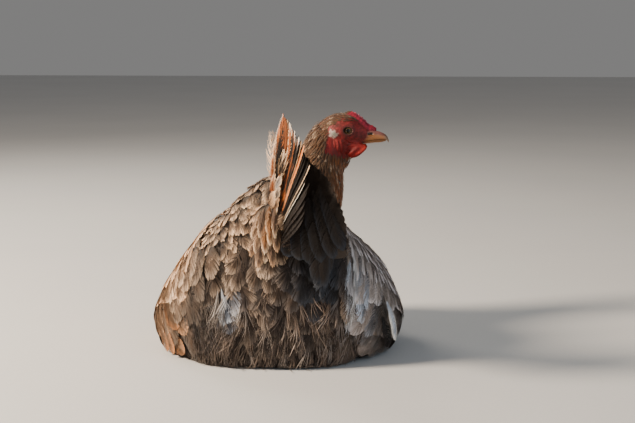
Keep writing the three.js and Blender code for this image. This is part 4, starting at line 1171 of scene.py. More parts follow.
saddle = smooth((pool_y - 20) / 30) * (np.abs(pool_x - 5) < 75) > 0.5
neat = in_body & (soft <= 0.5) & (fluffy <= 0.5)
curtain = in_body & within(pool_x, -92, -66) & (pool_y > 40) & within(pool_z, 66, 134)
flank = (aside > 40) & within(pool_y, 44, 84) & within(pool_z, 44, 112)


def cloak(name, kind, mask, spacing, long, wide, high, uneven=0.12, shade=body_shades, **kwargs):
    """Feathers of one kind over a part of the body."""
    roots = scattered(pool[mask], spacing)
    count = len(roots)
    lay(name, kind, roots, long * jitter(count, uneven), wide * jitter(count, uneven), shade,
        high=high, slot="plumage", **kwargs)


cloak("back_feathers", "cover", neat & ~saddle, 6.8, 22, 6.6, 5.4, uneven=0.2, camber=0.35, bed=0.9,
      sharp=(0.55, 0.98), swirl=0.3, curl=0.2)
cloak("saddle_feathers", "cover", neat & saddle, 7.0, 25, 6.6, 6.2, uneven=0.22, camber=0.45, bed=0.95,
      sharp=(0.62, 1.0), swirl=0.34, curl=0.25)
cloak("rear_plumes", "plume", in_body & (soft > 0.5) & (fluffy <= 0.5), 10.0, 42, 13, 7.4, uneven=0.16,
      swirl=0.22, curl=0.35, camber=0.42, bed=0.95, sharp=(0.6, 1.0))
cloak("body_fluff", "fluff", in_body & (fluffy > 0.5), 8.4, 38, 11, 7.0, uneven=0.25, stray=1.0,
      swirl=0.25, curl=0.35, bed=0.75)
cloak("body_wisps", "wisp", in_body & (soft > 0.4) & (pool_z < 76), 9.0, 34, 6, 8.4, uneven=0.3,
      stray=1.2, swirl=0.3, curl=0.5, low=4.0, shade=pale_shades)
cloak("curtain_plumes", "fluff", curtain, 7.5, 38, 5.0, 11.5, low=7.0, swirl=0.1, curl=0.2,
      shade=curtain_shades)
cloak("pale_locks", "wisp", in_body & (blob(pool, *LOCKS) > 0.5), 6.6, 40, 7, 9.4, uneven=0.3, low=4.0,
      stray=1.2, swirl=0.25, curl=0.5, shade=pale_shades)
cloak("flank_plumes", "plume", flank & ~on_neck, 13.0, 36, 9.5, 11.2, low=8.5, swirl=0.15, curl=0.25,
      camber=0.35)
cloak("wing_lining", "cover", in_wing & (pool_z > 10), 13.0, 28, 10, 4.0)

# The hackles of the neck, which stand fuller at the nape and the throat, and the tiny feathers of the head.
hackle = scattered(pool[on_neck & ~on_head], 2.1)
up_share = neck_share(hackle)[0]
fuller = 2.0 * blob(hackle, *NAPE) + 2.0 * blob(hackle, *THROAT_FRONT)
lay("neck_feathers", "hackle", hackle, mix(16, 7, up_share) * jitter(len(hackle), 0.15),
    mix(2.4, 1.1, up_share), neck_shades, 2.4 + fuller, "hackle", low=0.5 + fuller, swirl=0.08,
    sharp=(0.25, 0.75))
short = scattered(pool[on_head], 1.7)
lay("head_feathers", "tiny", short, 4.6 * jitter(len(short), 0.2), 1.0 * jitter(len(short), 0.2),
    neck_shades, 0.8, "hackle", low=0.2, swirl=0.08, sharp=(0.25, 0.75))

# ---------- Feathers laid one by one ----------

TAIL_STEPS = 12
WING_STEPS = 14


def columns(rows):
    """The columns of a table of feathers, as one array each."""
    return [np.array(column, float) for column in zip(*rows)]


def counted_from(first, layers):
    """Layers with the numbers of their feathers counted from a first one."""
    return [(cloud, shape, tint, n + first) for cloud, shape, tint, n in layers]


def straight(root, tip, out, bow):
    """Guide lines from roots to tips that bow outwards, with their outer directions."""
    t = np.linspace(0, 1, TAIL_STEPS)[None, :, None]
    along = unit(tip - root)
    face = unit(out - along * (out * along).sum(-1, keepdims=True))
    lines = root[:, None] + (tip - root)[:, None] * t
    lines = lines + face[:, None] * bow[:, None, None] * np.sin(np.pi * t)
    return lines, np.repeat(face[:, None], TAIL_STEPS, 1)


def flat_rise(s, n):
    """Feathers that lie along their guide lines."""
    return np.zeros((len(n), len(s)))


def placed(kind, roots, tips, outs, widths, edge, centre, bow=3.0, camber=0.2, **marks):
    """Feathers laid one by one from roots to tips."""
    count = len(roots)
    lines, faces = straight(roots, tips, outs, bow * jitter(count, 0.2))
    paint = painter(centre, edge, centre * 0.8, **marks)
    return dress(kind, lines, faces, widths, paint, flat_rise, camber, rng.normal(0, 0.08, count))


def hang(name, kind, rows, out, material, slot, **marks):
    """Feathers from a table of roots, tips, half widths, edges and centres, as a coat of their own."""
    roots, tips, widths, edges, centres = columns(rows)
    made = placed(kind, roots, tips, np.tile(out, (len(rows), 1)), widths, edges, centres, **marks)
    coat(name, made, roots, material, slot)


# ---------- Wings ----------


def side_of(y, z):
    """Half width of the body's outer surface."""
    width, waist = curve_at(BODY, "width", y), curve_at(BODY, "waist", y)
    top, under, arch = (curve_at(BODY, name, y) for name in ("top", "under", "arch"))
    flat = np.minimum(curve_at(BODY, "flat", y), width * FLAT_LIMIT)
    rise = np.clip((z - waist) / (top - waist), 0, 1)
    fall = np.clip((waist - z) / (waist - under), 0, 1)
    return np.where(z >= waist, width * (1 - rise**arch) ** (1 / arch),
                    flat + (width - flat) * np.sqrt(1 - fall * fall))


def side_point(side, y, z):
    """Points on the body's side, with the direction out of it."""
    z = np.maximum(z, 2.0)
    step = 1.5
    slope_y = (side_of(y + step, z) - side_of(y - step, z)) / (2 * step)
    slope_z = np.clip((side_of(y, z + step) - side_of(y, z - step)) / (2 * step), -1.6, 1.6)
    out = unit(np.stack([side * np.ones_like(y), -slope_y, -slope_z], -1))
    return np.stack([BODY_MIDDLE + side * side_of(y, z), y, z], -1), out


# The warm and pale colours of the rims and the brown of the vanes, by side; the right side's bluer tones
# partly paint in the cool shade there.
WING_TINTS = {1: (PEACH, CREAM, BROWN),
              -1: (mix(BUFF, SILVER, 0.4), mix(PALE_BLUE, CREAM, 0.3) * 1.3, mix(BROWN, ASH, 0.8) * 2.0)}
# Rows of feathers from the flights up. roots and tips are y and z of the first feather's and the last one's,
# and lift is how far the row stands out.
WING_ROWS = [
    {"kind": "flight", "count": 9, "width": 10, "lift": -0.6, "sweep": 3,
     "roots": ((-20, 14), (46, 26)), "tips": ((10, 3), (88, 9))},
    {"kind": "flight", "count": 12, "width": 11, "lift": 0.2, "sweep": 4,
     "roots": ((-44, 26), (44, 80)), "tips": ((-10, 5), (93, 32))},
    {"kind": "flight", "count": 13, "width": 10, "lift": 0.9, "sweep": 3,
     "roots": ((-60, 38), (30, 108)), "tips": ((-38, 18), (88, 62))},
    {"kind": "cover", "count": 15, "width": 9, "lift": 1.6, "sweep": 2.5,
     "roots": ((-68, 48), (22, 120)), "tips": ((-52, 30), (78, 84))},
    {"kind": "cover", "count": 16, "width": 8.5, "lift": 2.2, "sweep": 2,
     "roots": ((-74, 58), (16, 128)), "tips": ((-62, 42), (62, 102))},
    {"kind": "cover", "count": 18, "width": 7.5, "lift": 2.8, "sweep": 1.5,
     "roots": ((-78, 68), (8, 136)), "tips": ((-70, 54), (44, 118))},
]


def wing_lines(side, row):
    """Guide lines of one row over the body's side, with the directions out of it."""
    share = np.linspace(0, 1, row["count"])[:, None, None]
    roots, tips = (np.array(row[key], float) for key in ("roots", "tips"))
    t = np.linspace(0, 1, WING_STEPS)[None, :, None]
    root, tip = mix(roots[0], roots[1], share), mix(tips[0], tips[1], share)
    tip = tip + rng.normal(0, 2.0, tip.shape)
    run = tip - root
    across = unit(np.stack([-run[..., 1], run[..., 0]], -1))
    wander = rng.normal(0, 1.0, (row["count"], 1, 1))
    path = root + run * t + across * (row["sweep"] + wander) * np.sin(np.pi * t)
    return side_point(side, path[..., 0], path[..., 1])


def rows_of(side):
    """The layers of one wing, from its flight feathers up to its small coverts."""
    layers, places = [], []
    warm, cool, brown = WING_TINTS[side]
    for depth, row in enumerate(WING_ROWS):
        lines, outs = wing_lines(side, row)
        count, place = row["count"], lines[:, 0]
        fleck = rng.normal(0, 1, count)
        # Lower rows are darker: partly the wing's own brown, partly painted shade low on the wing.
        high = smooth((depth + 0.2 * fleck) / 3)
        pale = np.clip(high * (0.75 + 0.3 * noise(place, 30, 11)) + 0.1 * fleck, 0, 1)
        edge = mix(warm * 0.42, cool, pale[:, None])
        middle = mix(brown * 0.32, mix(edge, brown, 0.8) * 0.8, np.clip(high + 0.1 * fleck, 0, 1)[:, None])
        paint = painter(middle, edge, middle * 0.5, sharp=(0.5, 1.0), bed=0.6, streak=0.16, shaft=1.3,
                        blotch=(brown * 0.6, 0.3))
        lift = row["lift"] + rng.normal(0, 0.2, count)

        def rise(s, n, lift=lift):
            return mix(-3.5, lift[n][:, None], smooth(s / 0.4)[None])

        roll = -side * 0.11 * np.ones(count) + rng.normal(0, 0.03, count)
        made = dress(row["kind"], lines, outs, row["width"] * jitter(count, 0.06), paint, rise, 0.12, roll)
        layers += counted_from(sum(len(p) for p in places), made)
        places.append(place)
    return layers, np.concatenate(places)


# Loose flight feathers at the end of each wing: root, tip, half width, edge and centre.
LOOSE_FLIGHTS = {
    # The first at the right is a dark feather laid in the gap beside the white one, as painted shadow.
    "right": (((-105, 68, 44), (-111, 61, 12), 5.5, INK * 0.6, INK * 0.4),
              ((-109, 62, 58), (-118, 54, 17), 4.6, WHITE, PALE_BLUE * 0.8)),
    "left": (((114, 50, 42), (106, 62, 4), 6.2, PEACH * 0.45, BROWN * 0.35),
             ((108, 60, 40), (98, 73, 4), 6.2, PEACH * 0.6, BROWN * 0.4)),
}


def loose_flights(name, side):
    hang(f"wing_{name}_loose", "rectrix", LOOSE_FLIGHTS[name], (side * 0.8, 0.6, 0.1), STIFF, "wing_feather",
         sharp=(0.3, 0.8))


for name, side in (("left", 1), ("right", -1)):
    layers, places = rows_of(side)
    coat(f"wing_{name}_feathers", layers, places, STIFF, "wing_feather")

loose_flights("right", -1)

# ---------- Tail ----------


def lower_rim(colour, wide, start=-1.0):
    """A band of a colour along the lower rim of a flight feather."""
    return (-1.3, wide - 1, colour, start)


WHITE_RIM = lower_rim(WHITE, 0.03, 0.95)
# Flight feathers of the left wall: how far down it, half width, length as a share of the wall's, and bands.
LEFT_VANES = (
    (0.0, 8.8, 1.0, ((0.88, 1.3, WHITE, -1), (0.3, 0.88, RUST * 0.85, -1), (0.5, 0.62, PEACH, -1),
                     lower_rim(RUST * 0.8, 0.45))),
    (0.03, 9.5, 1.0, (lower_rim(RUST * 0.3, 0.3),)),
    (0.065, 9.5, 1.0, (lower_rim(RUST * 0.6, 0.35, 0.75), lower_rim(CREAM, 0.03))),
    (0.1, 9.5, 1.0, (lower_rim(RUST * 0.7, 0.35, 0.7), WHITE_RIM)),
    (0.135, 9.0, 1.0, (lower_rim(CREAM, 0.04), WHITE_RIM)),
    (0.17, 9.0, 1.0, ()),
    (0.205, 9.0, 1.0, (lower_rim(RUST * 0.5, 0.2), WHITE_RIM)),
    (0.24, 8.5, 1.0, (WHITE_RIM,)),
    (0.275, 8.0, 1.0, (WHITE_RIM,)),
    (0.31, 7.5, 1.0, (lower_rim(BUFF * 0.8, 0.06),)),
    (0.36, 7.0, 1.02, (lower_rim(RUST, 0.8), lower_rim(PEACH * 1.1, 0.12))),
    (0.405, 7.0, 0.99, ()),
    (0.45, 7.0, 0.97, ()),
    (0.5, 7.0, 0.98, ()),
    (0.535, 7.0, 1.0, (lower_rim(CREAM, 0.16),)),
    (0.57, 7.0, 0.92, ()),
    (0.605, 7.0, 0.86, (lower_rim(WHITE, 0.12),)),
    (0.68, 9.0, 0.95, ()),
    (0.76, 9.0, 0.96, ()),
    (0.84, 9.0, 0.97, ()),
    (0.92, 9.5, 0.98, ()),
    (1.0, 9.5, 1.0, ()),
)
RIGHT_VANES = tuple((share, 9.5, 1.0, ()) for share in np.linspace(0, 1, 22))
# How far the lower vanes lie under the upper ones, and how far each is rolled.
VANE_SHIFT = {"left": 9.0, "right": 3.0}
VANE_ROLL = {"left": -0.3, "right": 0.07}
# Coverts laid on the left wall: share and length of root and tip, half width, how far out, edge and centre.
LEFT_COVERTS = (
    ((0.0, 0.42), (-0.06, 0.8), 2.4, 7.0, CREAM, RUST * 0.7),
    ((0.05, 0.45), (0.06, 0.84), 2.6, 6.0, INK, INK),
    ((0.0, 0.4), (-0.04, 0.74), 2.8, 8.4, CREAM, RUST * 0.7),
    ((0.0, 0.34), (-0.05, 0.66), 3.0, 9.2, CREAM, RUST * 0.7),
    ((0.1, 0.42), (0.15, 0.78), 3.2, 4.2, CREAM, INK),
    ((0.15, 0.44), (0.23, 0.82), 3.2, 4.0, CREAM, INK),
    ((0.2, 0.42), (0.27, 0.74), 3.0, 4.4, BUFF, INK),
    ((0.06, 0.36), (0.1, 0.66), 3.6, 5.4, BUFF, INK),
    ((0.0, 0.3), (-0.02, 0.56), 4.2, 9.0, CREAM, RUST * 0.6),
    ((0.14, 0.28), (0.2, 0.6), 3.6, 4.4, RUST * 0.6, INK),
    ((0.05, 0.24), (0.28, 0.6), 5.4, 8.0, CREAM, ASH),
    ((0.0, 0.16), (0.08, 0.48), 4.8, 9.5, CREAM, RUST * 0.5),
    ((0.1, 0.12), (0.3, 0.48), 5.6, 8.0, CREAM, ASH * 0.6),
    ((0.2, 0.06), (0.38, 0.4), 5.4, 8.0, BUFF, UMBER),
    ((0.3, 0.04), (0.44, 0.34), 5.2, 7.4, CREAM, UMBER),
    ((0.04, 0.06), (0.2, 0.38), 6.0, 10.0, CREAM, BUFF),
)
# Rows of coverts over the outside of the right wall: count, length at the ridge and below, and how far out.
RIGHT_COVERTS = ((9, 0.6, 0.5, 4.5), (8, 0.46, 0.4, 7), (7, 0.32, 0.3, 9))
# Long dark feathers that hang below the right wall: root, tip, half width, edge and centre.
DRAPES = (
    ((-20, 117, 134), (-20, 118, 110), 8.6, NIGHT * 1.3, INK),
    ((-29, 119, 142), (-30, 119, 107), 9.6, NIGHT * 1.2, INK),
    ((-37, 122, 150), (-40, 118, 103), 8.6, NIGHT * 1.1, INK),
    ((-44, 124, 152), (-46, 114, 84), 8.0, NIGHT * 1.0, INK),
    ((-51, 126, 152), (-51, 112, 80), 7.0, NIGHT * 1.2, INK),
    ((-57, 127, 150), (-55, 110, 92), 6.2, NIGHT * 0.9, INK),
    ((-38, 132, 168), (-51, 130, 108), 8.0, NIGHT * 0.9, INK),
    ((-45, 138, 178), (-62, 137, 112), 8.0, NIGHT * 1.1, INK),
    ((-50, 144, 186), (-71, 144, 121), 7.6, NIGHT * 0.9, INK),
)
# Coverts that hang over the root of the tail, and a single downy feather at its top: columns as above.
ROOT_COVERTS = (
    ((-3, 116, 126), (-4, 115, 100), 4.8, BUFF, UMBER),
    ((4, 114, 128), (3, 113, 103), 4.4, CREAM, UMBER),
    ((8, 114, 122), (10, 112, 98), 4.8, BUFF, UMBER),
    ((-9, 122, 142), (-8, 121, 114), 4.4, BUFF, UMBER * 0.7),
    ((2, 119, 140), (3, 117, 112), 4.6, CREAM, GOLD * 0.7),
    ((8, 114, 138), (13, 111, 112), 4.6, CREAM, BROWN),
    ((-3, 123, 148), (-2, 121, 121), 4.0, CREAM, GOLD * 0.7),
    ((-7, 124, 156), (-7, 124, 128), 3.4, CREAM, UMBER),
    ((-2, 122, 158), (0, 121, 131), 3.6, CREAM, GOLD * 0.6),
    ((4, 117, 154), (8, 117, 127), 4.0, CREAM, UMBER),
    ((9, 112, 148), (16, 110, 124), 4.6, CREAM, BROWN),
    ((10, 110, 132), (18, 108, 108), 5.0, BUFF, UMBER),
)
DOWNY = (((-3, 112, 180), (-6, 137, 229), 6.4, CREAM * 0.9, CREAM * 0.7),)


def wall_lie(wall, share):
    """Root, tip and outer direction of the feathers at shares of the way down a wall."""
    tips, roots = (np.array(wall[key], float) for key in ("tips", "roots"))
    keys = np.linspace(0, 1, len(tips))
    tip = np.stack([np.interp(share, keys, tips[:, k]) for k in range(3)], -1)
    out = mix(np.array(wall["out_first"]), np.array(wall["out_last"]), smooth(share * 1.2)[:, None])
    return mix(roots[0], roots[1], share[:, None]), tip, unit(out)


def spot_on(wall, share, long):
    """A place on a wall, by how far down the wall it is and how far along the feathers."""
    root, tip, out = wall_lie(wall, np.clip(share, 0, 1))
    return mix(root, tip, long[:, None]) + out * (-4.5 * share)[:, None], out


def vane_layers(name, wall):
    """The flight feathers of one wall."""
    left = name == "left"
    vanes = LEFT_VANES if left else RIGHT_VANES
    share, width, long = columns(vane[:3] for vane in vanes)
    root, tip, out = wall_lie(wall, share)
    shift = out * (-VANE_SHIFT[name] * share)[:, None]
    tip = mix(root, tip, long[:, None]) + rng.normal(0, 0.5, tip.shape)
    lines, outs = straight(root + shift, tip + shift, out, np.full(len(vanes), 3.0))
    layers = []
    for k, vane in enumerate(vanes):
        grey = rng.uniform(0, 1)
        if left:
            body = INK * (0.5 if share[k] > 0.35 else 0.8)
            blotch = (RUST * 0.6, 0.3 if share[k] < 0.3 else 0.1)
        else:
            body = mix(INK, ASH * 0.3, 0.3 * grey)
            blotch = (UMBER * 0.5, 0.2)
        one = slice(k, k + 1)
        kind = "spear" if left and k == 0 else "rectrix"
        made = dress(kind, lines[one], outs[one], width[one], banded(body[None], vane[3], blotch), flat_rise,
                     0.05, np.array([VANE_ROLL[name]]))
        layers += counted_from(k, made)
    return layers, root


def left_coverts(wall):
    """The coverts laid on the left wall, and their roots."""
    start, end, width, stand, edge, centre = columns(LEFT_COVERTS)
    start, out = spot_on(wall, *start.T)
    end, out_end = spot_on(wall, *end.T)
    start, end = start + out * (0.5 * stand)[:, None], end + out_end * stand[:, None]
    out = unit(out + out_end)
    return placed("cover", start, end, out, width, edge, centre, sharp=(0.68, 0.95), bed=0.6), start


def right_coverts(wall):
    """Rows of coverts over the outside of the right wall, and their roots."""
    layers, places = [], []
    for count, low, high, stand in RIGHT_COVERTS:
        share = np.clip(np.linspace(0.02, 0.97, count) + rng.normal(0, 0.02, count), 0, 1)
        start, out = spot_on(wall, share, 0 * share)
        end = spot_on(wall, share, mix(low, high, share) * jitter(count, 0.12))[0]
        edge = mix(SOOT, UMBER, np.clip(0.55 + 0.3 * rng.normal(0, 1, count), 0, 1)[:, None])
        made = placed("cover", start + out * 3, end + out * stand, out, 11.0 * jitter(count, 0.12), edge,
                      np.tile(INK, (count, 1)))
        layers += counted_from(sum(len(p) for p in places), made)
        places.append(start)
    return layers, np.concatenate(places)


for name, wall in TAIL_WALLS.items():
    vanes, roots = vane_layers(name, wall)
    coverts, places = left_coverts(wall) if name == "left" else right_coverts(wall)
    coat(f"tail_{name}_feathers", vanes + counted_from(len(roots), coverts), np.concatenate([roots, places]),
         STIFF, "tail_feather", (f"tail_{name}",))

hang("undertail_feathers", "drape", DRAPES, (-0.1, 1.0, 0.2), STIFF, "tail_feather", bow=2.0,
     sharp=(0.6, 1.0))
hang("tail_root_feathers", "cover", ROOT_COVERTS, (0.1, 1.0, 0.25), PLUME, "plumage", camber=0.45,
     sharp=(0.6, 0.98), bed=0.8, streak=0.25)
hang("tail_down", "down", DOWNY, (0.3, 1.0, 0.0), PLUME, "plumage")
loose_flights("left", 1)

# ---------- Eyes and bill ----------

EYE_STEPS = (72, 48)
PUPIL = srgb(5, 4, 4)
IRIS_IN = srgb(74, 56, 34)
IRIS_OUT = srgb(104, 82, 52)
EYE_RIM = srgb(52, 30, 24)
# Where the iris starts and ends, as angles from the middle of the pupil.
IRIS_FROM, IRIS_TO = 0.38, 0.76


def make_eye(name, side):
    """An eyeball with its pupil and iris on the side that looks out."""
    steps, around = EYE_STEPS
    angle = np.pi * np.linspace(0, 1, steps + 1) ** 1.4
    turn = 2 * np.pi * np.arange(around) / around
    bulge = EYE["radius"] * (1 + 0.05 * np.exp(-(angle / 0.55) ** 2))
    ring = np.stack([np.outer(np.sin(angle), np.cos(turn)), side * np.outer(np.cos(angle), np.ones(around)),
                     np.outer(np.sin(angle), np.sin(turn))], -1) * bulge[:, None, None]
    points = ring.reshape(-1, 3) + (EYE["x"], side * EYE["side"], EYE["z"])
    faces = tube_faces(steps + 1, around)
    if side < 0:
        faces = faces[:, ::-1]
    far = np.repeat(angle, around)[:, None]
    rays = 1 + 0.16 * np.tile(np.sin(turn * 17 + 2 * np.sin(turn * 5)), steps + 1)
    colour = mix(IRIS_IN, IRIS_OUT, smooth((far - 0.4) / 0.3)) * rays[:, None]
    colour = mix(colour, EYE_RIM, smooth((far - IRIS_TO) / 0.14))
    colour = mix(PUPIL, colour, smooth((far - IRIS_FROM) / 0.06))
    piece = mesh_from(f"{name}ball", from_head(points), faces, np.clip(colour, 0, 1))
    settle(piece, WET, "eye", name)


WET = material_of("wet_eye", 0.2, 0.3, coarse=(900, 0.08), fine=(3000, 0.08), varnish=0.12)
make_eye("eye_left", 1)
make_eye("eye_right", -1)

BILL_STEPS = (64, 32)
NOSTRIL = {"x": 23.4, "z": -0.8, "long": 2.9, "high": 1.15, "deep": 1.7, "slope": 0.12, "flap": 0.35}
BILL_SIDE = srgb(150, 94, 44)
BILL_SHADE = srgb(112, 66, 34)
BILL_RIDGE = srgb(124, 78, 76)
BILL_ROOT = srgb(132, 50, 40)
BILL_POINT = srgb(140, 122, 104)
NOSTRIL_SHADE = srgb(30, 16, 14)
MOUTH_GAP = 0.12  # half the gap between the two halves of the bill


def make_bill(name, upper):
    """One half of the bill: half rings from the face to its tip, with a nostril each side in the upper."""
    steps, sides = BILL_STEPS
    tip = BILL_TIP if upper else BILL_LOWER_TIP
    t = 1 - (1 - np.linspace(0, 1, steps + 1)) ** 1.3
    x = mix(BILL["k"][0], tip, t)[:, None]
    taper = np.ones_like(x) if upper else 0.9 * np.sqrt(1 - 0.8 * t[:, None]**4)
    mouth = curve_at(BILL, "gape", x) + (MOUTH_GAP if upper else -MOUTH_GAP)
    far = curve_at(BILL, "ridge", x) if upper else mix(mouth, curve_at(BILL, "keel", x), taper)
    angle = np.pi * np.arange(sides + 1) / sides
    y = curve_at(BILL, "width", x) * taper * np.cos(angle)
    z = mouth + (far - mouth) * np.sin(angle) ** 0.8
    x = np.repeat(x, sides + 1, 1)
    hole, ridge = np.zeros_like(x), np.zeros_like(x)
    if upper:
        ahead, above = x - NOSTRIL["x"], z - NOSTRIL["z"]
        high = (above - NOSTRIL["slope"] * ahead) / NOSTRIL["high"]
        hole = np.exp(-(ahead / NOSTRIL["long"]) ** 4 - high ** 4)
        y = y - np.sign(y) * NOSTRIL["deep"] * hole
        flap = np.exp(-(ahead / 3.4) ** 2 - ((above - 1.8) / 1.1) ** 2)
        y = y + np.sign(y) * NOSTRIL["flap"] * flap
        ridge = smooth((z - mouth) / (far - mouth) * 2.2 - 1.0)
    colour = blended(mix(BILL_SHADE, BILL_SIDE, smooth(1 - ridge * 2).reshape(-1, 1)), [
        (BILL_RIDGE, (0.9 * ridge * smooth((42 - x) / 8)).ravel()),
        (BILL_ROOT, (0.9 * smooth((25 - x) / 9)).ravel()),
        (BILL_POINT, (0.7 * smooth((x - 37) / 6)).ravel()),
        # Painted shade in the hollow of the nostril.
        (NOSTRIL_SHADE, smooth(hole * 1.4).ravel()),
    ])
    faces = tube_faces(steps + 1, sides + 1)
    if not upper:
        faces = faces[:, ::-1]
    piece = mesh_from(f"{name}_horn", from_head(np.stack([x, y, z], -1).reshape(-1, 3)), faces, colour)
    settle(piece, HORN, "bill_horn", name)


HORN = material_of("bill_horn", 0.38, 0.5, coarse=(260, 0.12), fine=(1600, 0.1), bump=0.25, subsurface=0.05)
make_bill("bill_upper", True)
make_bill("bill_lower", False)

# ---------- Legs ----------

LEG_SOLE = 1.1  # how much of the foot is pressed flat on the floor
SHANK_SWELL = 1.15
TOE_TAPER = 0.72
TOE_RISE = 0.6
SCUTES = {"shank": 5.2, "toe": 3.2}  # the length of one scute
CLAW_THICK = (2.3, 0.35)
CLAW_ROOT = 3.0  # how deep the claw sits in the toe
FLOOR_SKIN = 0.2  # the least height of the feet over the floor
LEG_YELLOW = srgb(186, 150, 74)
LEG_BROWN = srgb(104, 76, 40)
CLAW_DARK = srgb(92, 72, 50)
CLAW_PALE = srgb(150, 128, 96)


def grounded_tube(points, tint):
    """Rings of a closed tube, kept over the floor, as points, faces and colours."""
    points[..., 2] = np.maximum(points[..., 2], FLOOR_SKIN)
    return points.reshape(-1, 3), tube_faces(*points.shape[:2]), tint.reshape(-1, 3)


def limb(start, end, radii, scute, steps=90, sides=28):
    """A rounded limb with a row of overlapping scutes along its top: points, faces and colours."""
    start, end = np.array(start, float), np.array(end, float)
    length = np.linalg.norm(end - start)
    along = (end - start) / length
    across = unit(np.cross((0, 0, 1), along))
    up = np.cross(along, across)
    caps = 0.85 * np.array(radii)
    at = np.linspace(-caps[0], length + caps[1], steps + 1)
    share = np.clip(at / length, 0, 1)
    past = np.where(at < 0, -at / caps[0], np.where(at > length, (at - length) / caps[1], 0))
    radius = mix(radii[0], radii[1], share) * np.sqrt(np.maximum(1 - past**2, 0.01))
    turn = 2 * np.pi * np.arange(sides) / sides
    top = smooth(0.5 + 0.9 * np.sin(turn))[None]
    plate = ((at / scute) % 1)[:, None]
    relief = top * 0.05 * (1 - plate) - (1 - top) * 0.03 * (0.5 + 0.5 * np.sin(turn * 9 + at[:, None] * 2.2))
    ring = radius[:, None] * (1 + relief)
    points = (start + along * at[:, None, None] + across * (np.cos(turn) * ring)[..., None]
              + up * (np.sin(turn) * ring)[..., None])
    seam = smooth((plate - 0.8) / 0.15) * top
    # The underside is painted a quarter darker as shade; the brown seams between the scutes are their own.
    tint = mix(LEG_YELLOW * (1 - 0.25 * (1 - top[..., None])), LEG_BROWN, (0.2 + 0.7 * seam)[..., None])
    return grounded_tube(points, np.clip(tint, 0, 1))


def claw(start, along, steps=24, sides=16):
    """A curved claw that tapers to its tip on the floor."""
    t = np.linspace(0, 1, steps + 1)
    radius = mix(CLAW_THICK[0], CLAW_THICK[1], t**1.3)
    middle = start + along * (t * (CLAW_LONG + CLAW_ROOT))[:, None]
    middle[:, 2] = mix(start[2] + TOE_RISE, CLAW_THICK[1] + 0.3, t**1.6) + 0.8 * np.sin(np.pi * t)
    turn = 2 * np.pi * np.arange(sides) / sides
    across = np.array([-along[1], along[0], 0])
    wide = (radius * 0.85)[:, None, None] * np.cos(turn)[None, :, None] * across
    tall = (radius[:, None] * np.sin(turn))[..., None] * np.array([0, 0, 1.0])
    tint = mix(CLAW_DARK, CLAW_PALE, t[:, None, None]) * np.ones((1, sides, 1))
    return grounded_tube(middle[:, None] + wide + tall, tint)


def make_leg(name, side):
    """A folded leg on the floor, with its toes in one piece with it and its claws as pieces of their own."""
    shank, toe = LEG["shank"], LEG["toe"]
    hock = np.array([side * LEG["hock"][0], LEG["hock"][1], shank * SHANK_SWELL - LEG_SOLE])
    foot = np.array([side * LEG["foot"][0], LEG["foot"][1], shank - LEG_SOLE])
    parts = [limb(hock, foot, (shank * SHANK_SWELL, shank), SCUTES["shank"])]
    for number, (yaw, long) in enumerate(TOES):
        heading = math.radians(-90 + side * yaw)
        along = np.array([math.cos(heading), math.sin(heading), 0])
        start = np.array([foot[0], foot[1], toe - LEG_SOLE + TOE_RISE])
        end = start + along * long
        end[2] = toe * TOE_TAPER - LEG_SOLE
        parts.append(limb(start, end, (toe, toe * TOE_TAPER), SCUTES["toe"]))
        points, faces, tint = claw(end + along * (toe * TOE_TAPER * 0.6 - CLAW_ROOT), along)
        piece = mesh_from(f"claw_{name}_{number + 1}_horn", points, faces, tint)
        settle(piece, HORN, "claw_horn", f"claw_{name}_{number + 1}")
    bases = np.cumsum([0] + [len(cloud) for cloud, grid, tint in parts])
    parts = [(cloud, grid + base, tint) for (cloud, grid, tint), base in zip(parts, bases)]
    piece = mesh_from(f"leg_{name}_scales", *(np.concatenate(column) for column in zip(*parts)))
    settle(piece, SCALES, "leg_scale", f"leg_{name}")


SCALES = material_of("leg_scales", 0.48, 0.4, coarse=(180, 0.16), fine=(1500, 0.14), bump=0.4,
                     subsurface=0.03)
make_leg("left", 1)
make_leg("right", -1)

# ---------- Camera, light and floor ----------

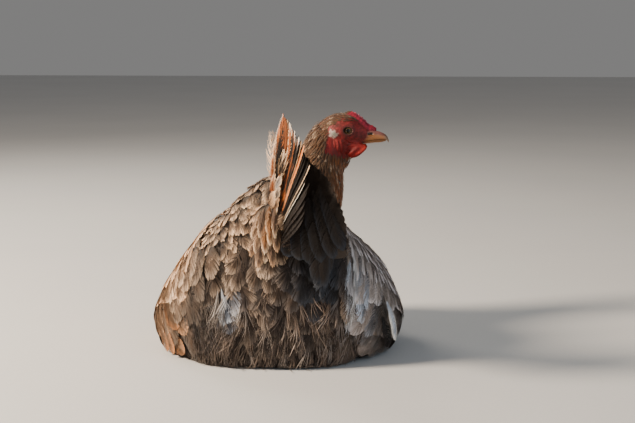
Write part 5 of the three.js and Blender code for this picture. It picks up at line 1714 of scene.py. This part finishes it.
CAMERA_LENS, CAMERA_SENSOR, CAMERA_NEAR = 79.37, 36, 0.05
CAMERA_AT = (-0.1351, 1.394, 0.335)
CAMERA_TURN = (math.radians(81.89), 0, math.radians(184))
MIDDLE = (-0.01, 0.0, 0.1)  # what the lights aim at
# Lights: place and size in metres, power in watts and colour.
LIGHTS = {
    "key": ((1.5, 0.55, 1.05), 0.5, 104, (1.0, 0.83, 0.64)),
    "fill": ((-1.2, 1.4, 0.9), 1.4, 10.5, (0.72, 0.86, 1.0)),
    "rim": ((0.9, -1.2, 1.2), 0.8, 14, (1.0, 0.92, 0.8)),
}
FLOOR_REACH = 6.0


def add_to_scene(name, data, at, turn):
    piece = bpy.data.objects.new(name, data)
    piece.location = at
    piece.rotation_euler = turn
    bpy.context.scene.collection.objects.link(piece)
    return piece


def make_camera():
    camera = bpy.data.cameras.new("camera")
    camera.lens, camera.sensor_width, camera.clip_start = CAMERA_LENS, CAMERA_SENSOR, CAMERA_NEAR
    bpy.context.scene.camera = add_to_scene("camera", camera, CAMERA_AT, CAMERA_TURN)


def make_lights():
    for name, (at, size, power, colour) in LIGHTS.items():
        lamp = bpy.data.lights.new(name, "AREA")
        lamp.shape = "DISK"
        lamp.size, lamp.energy, lamp.color = size, power, colour
        add_to_scene(name, lamp, at, (Vector(MIDDLE) - Vector(at)).to_track_quat("-Z", "Y").to_euler())
    world = bpy.data.worlds.new("studio")
    world.use_nodes = True
    backdrop = world.node_tree.nodes["Background"].inputs
    backdrop["Color"].default_value = (0.97, 0.96, 0.95, 1)
    backdrop["Strength"].default_value = 0.22
    bpy.context.scene.world = world


def make_floor():
    corners = np.array([(-1, -1, 0), (1, -1, 0), (1, 1, 0), (-1, 1, 0)]) * FLOOR_REACH / MM
    floor = mesh_from("floor", corners, np.array([(0, 1, 2, 3)]), np.full((4, 3), 0.6))
    floor.data.materials.append(material_of("paper", 0.9, 0.2, coarse=(3, 0.02), fine=(300, 0.02)))


make_camera()
make_lights()
make_floor()
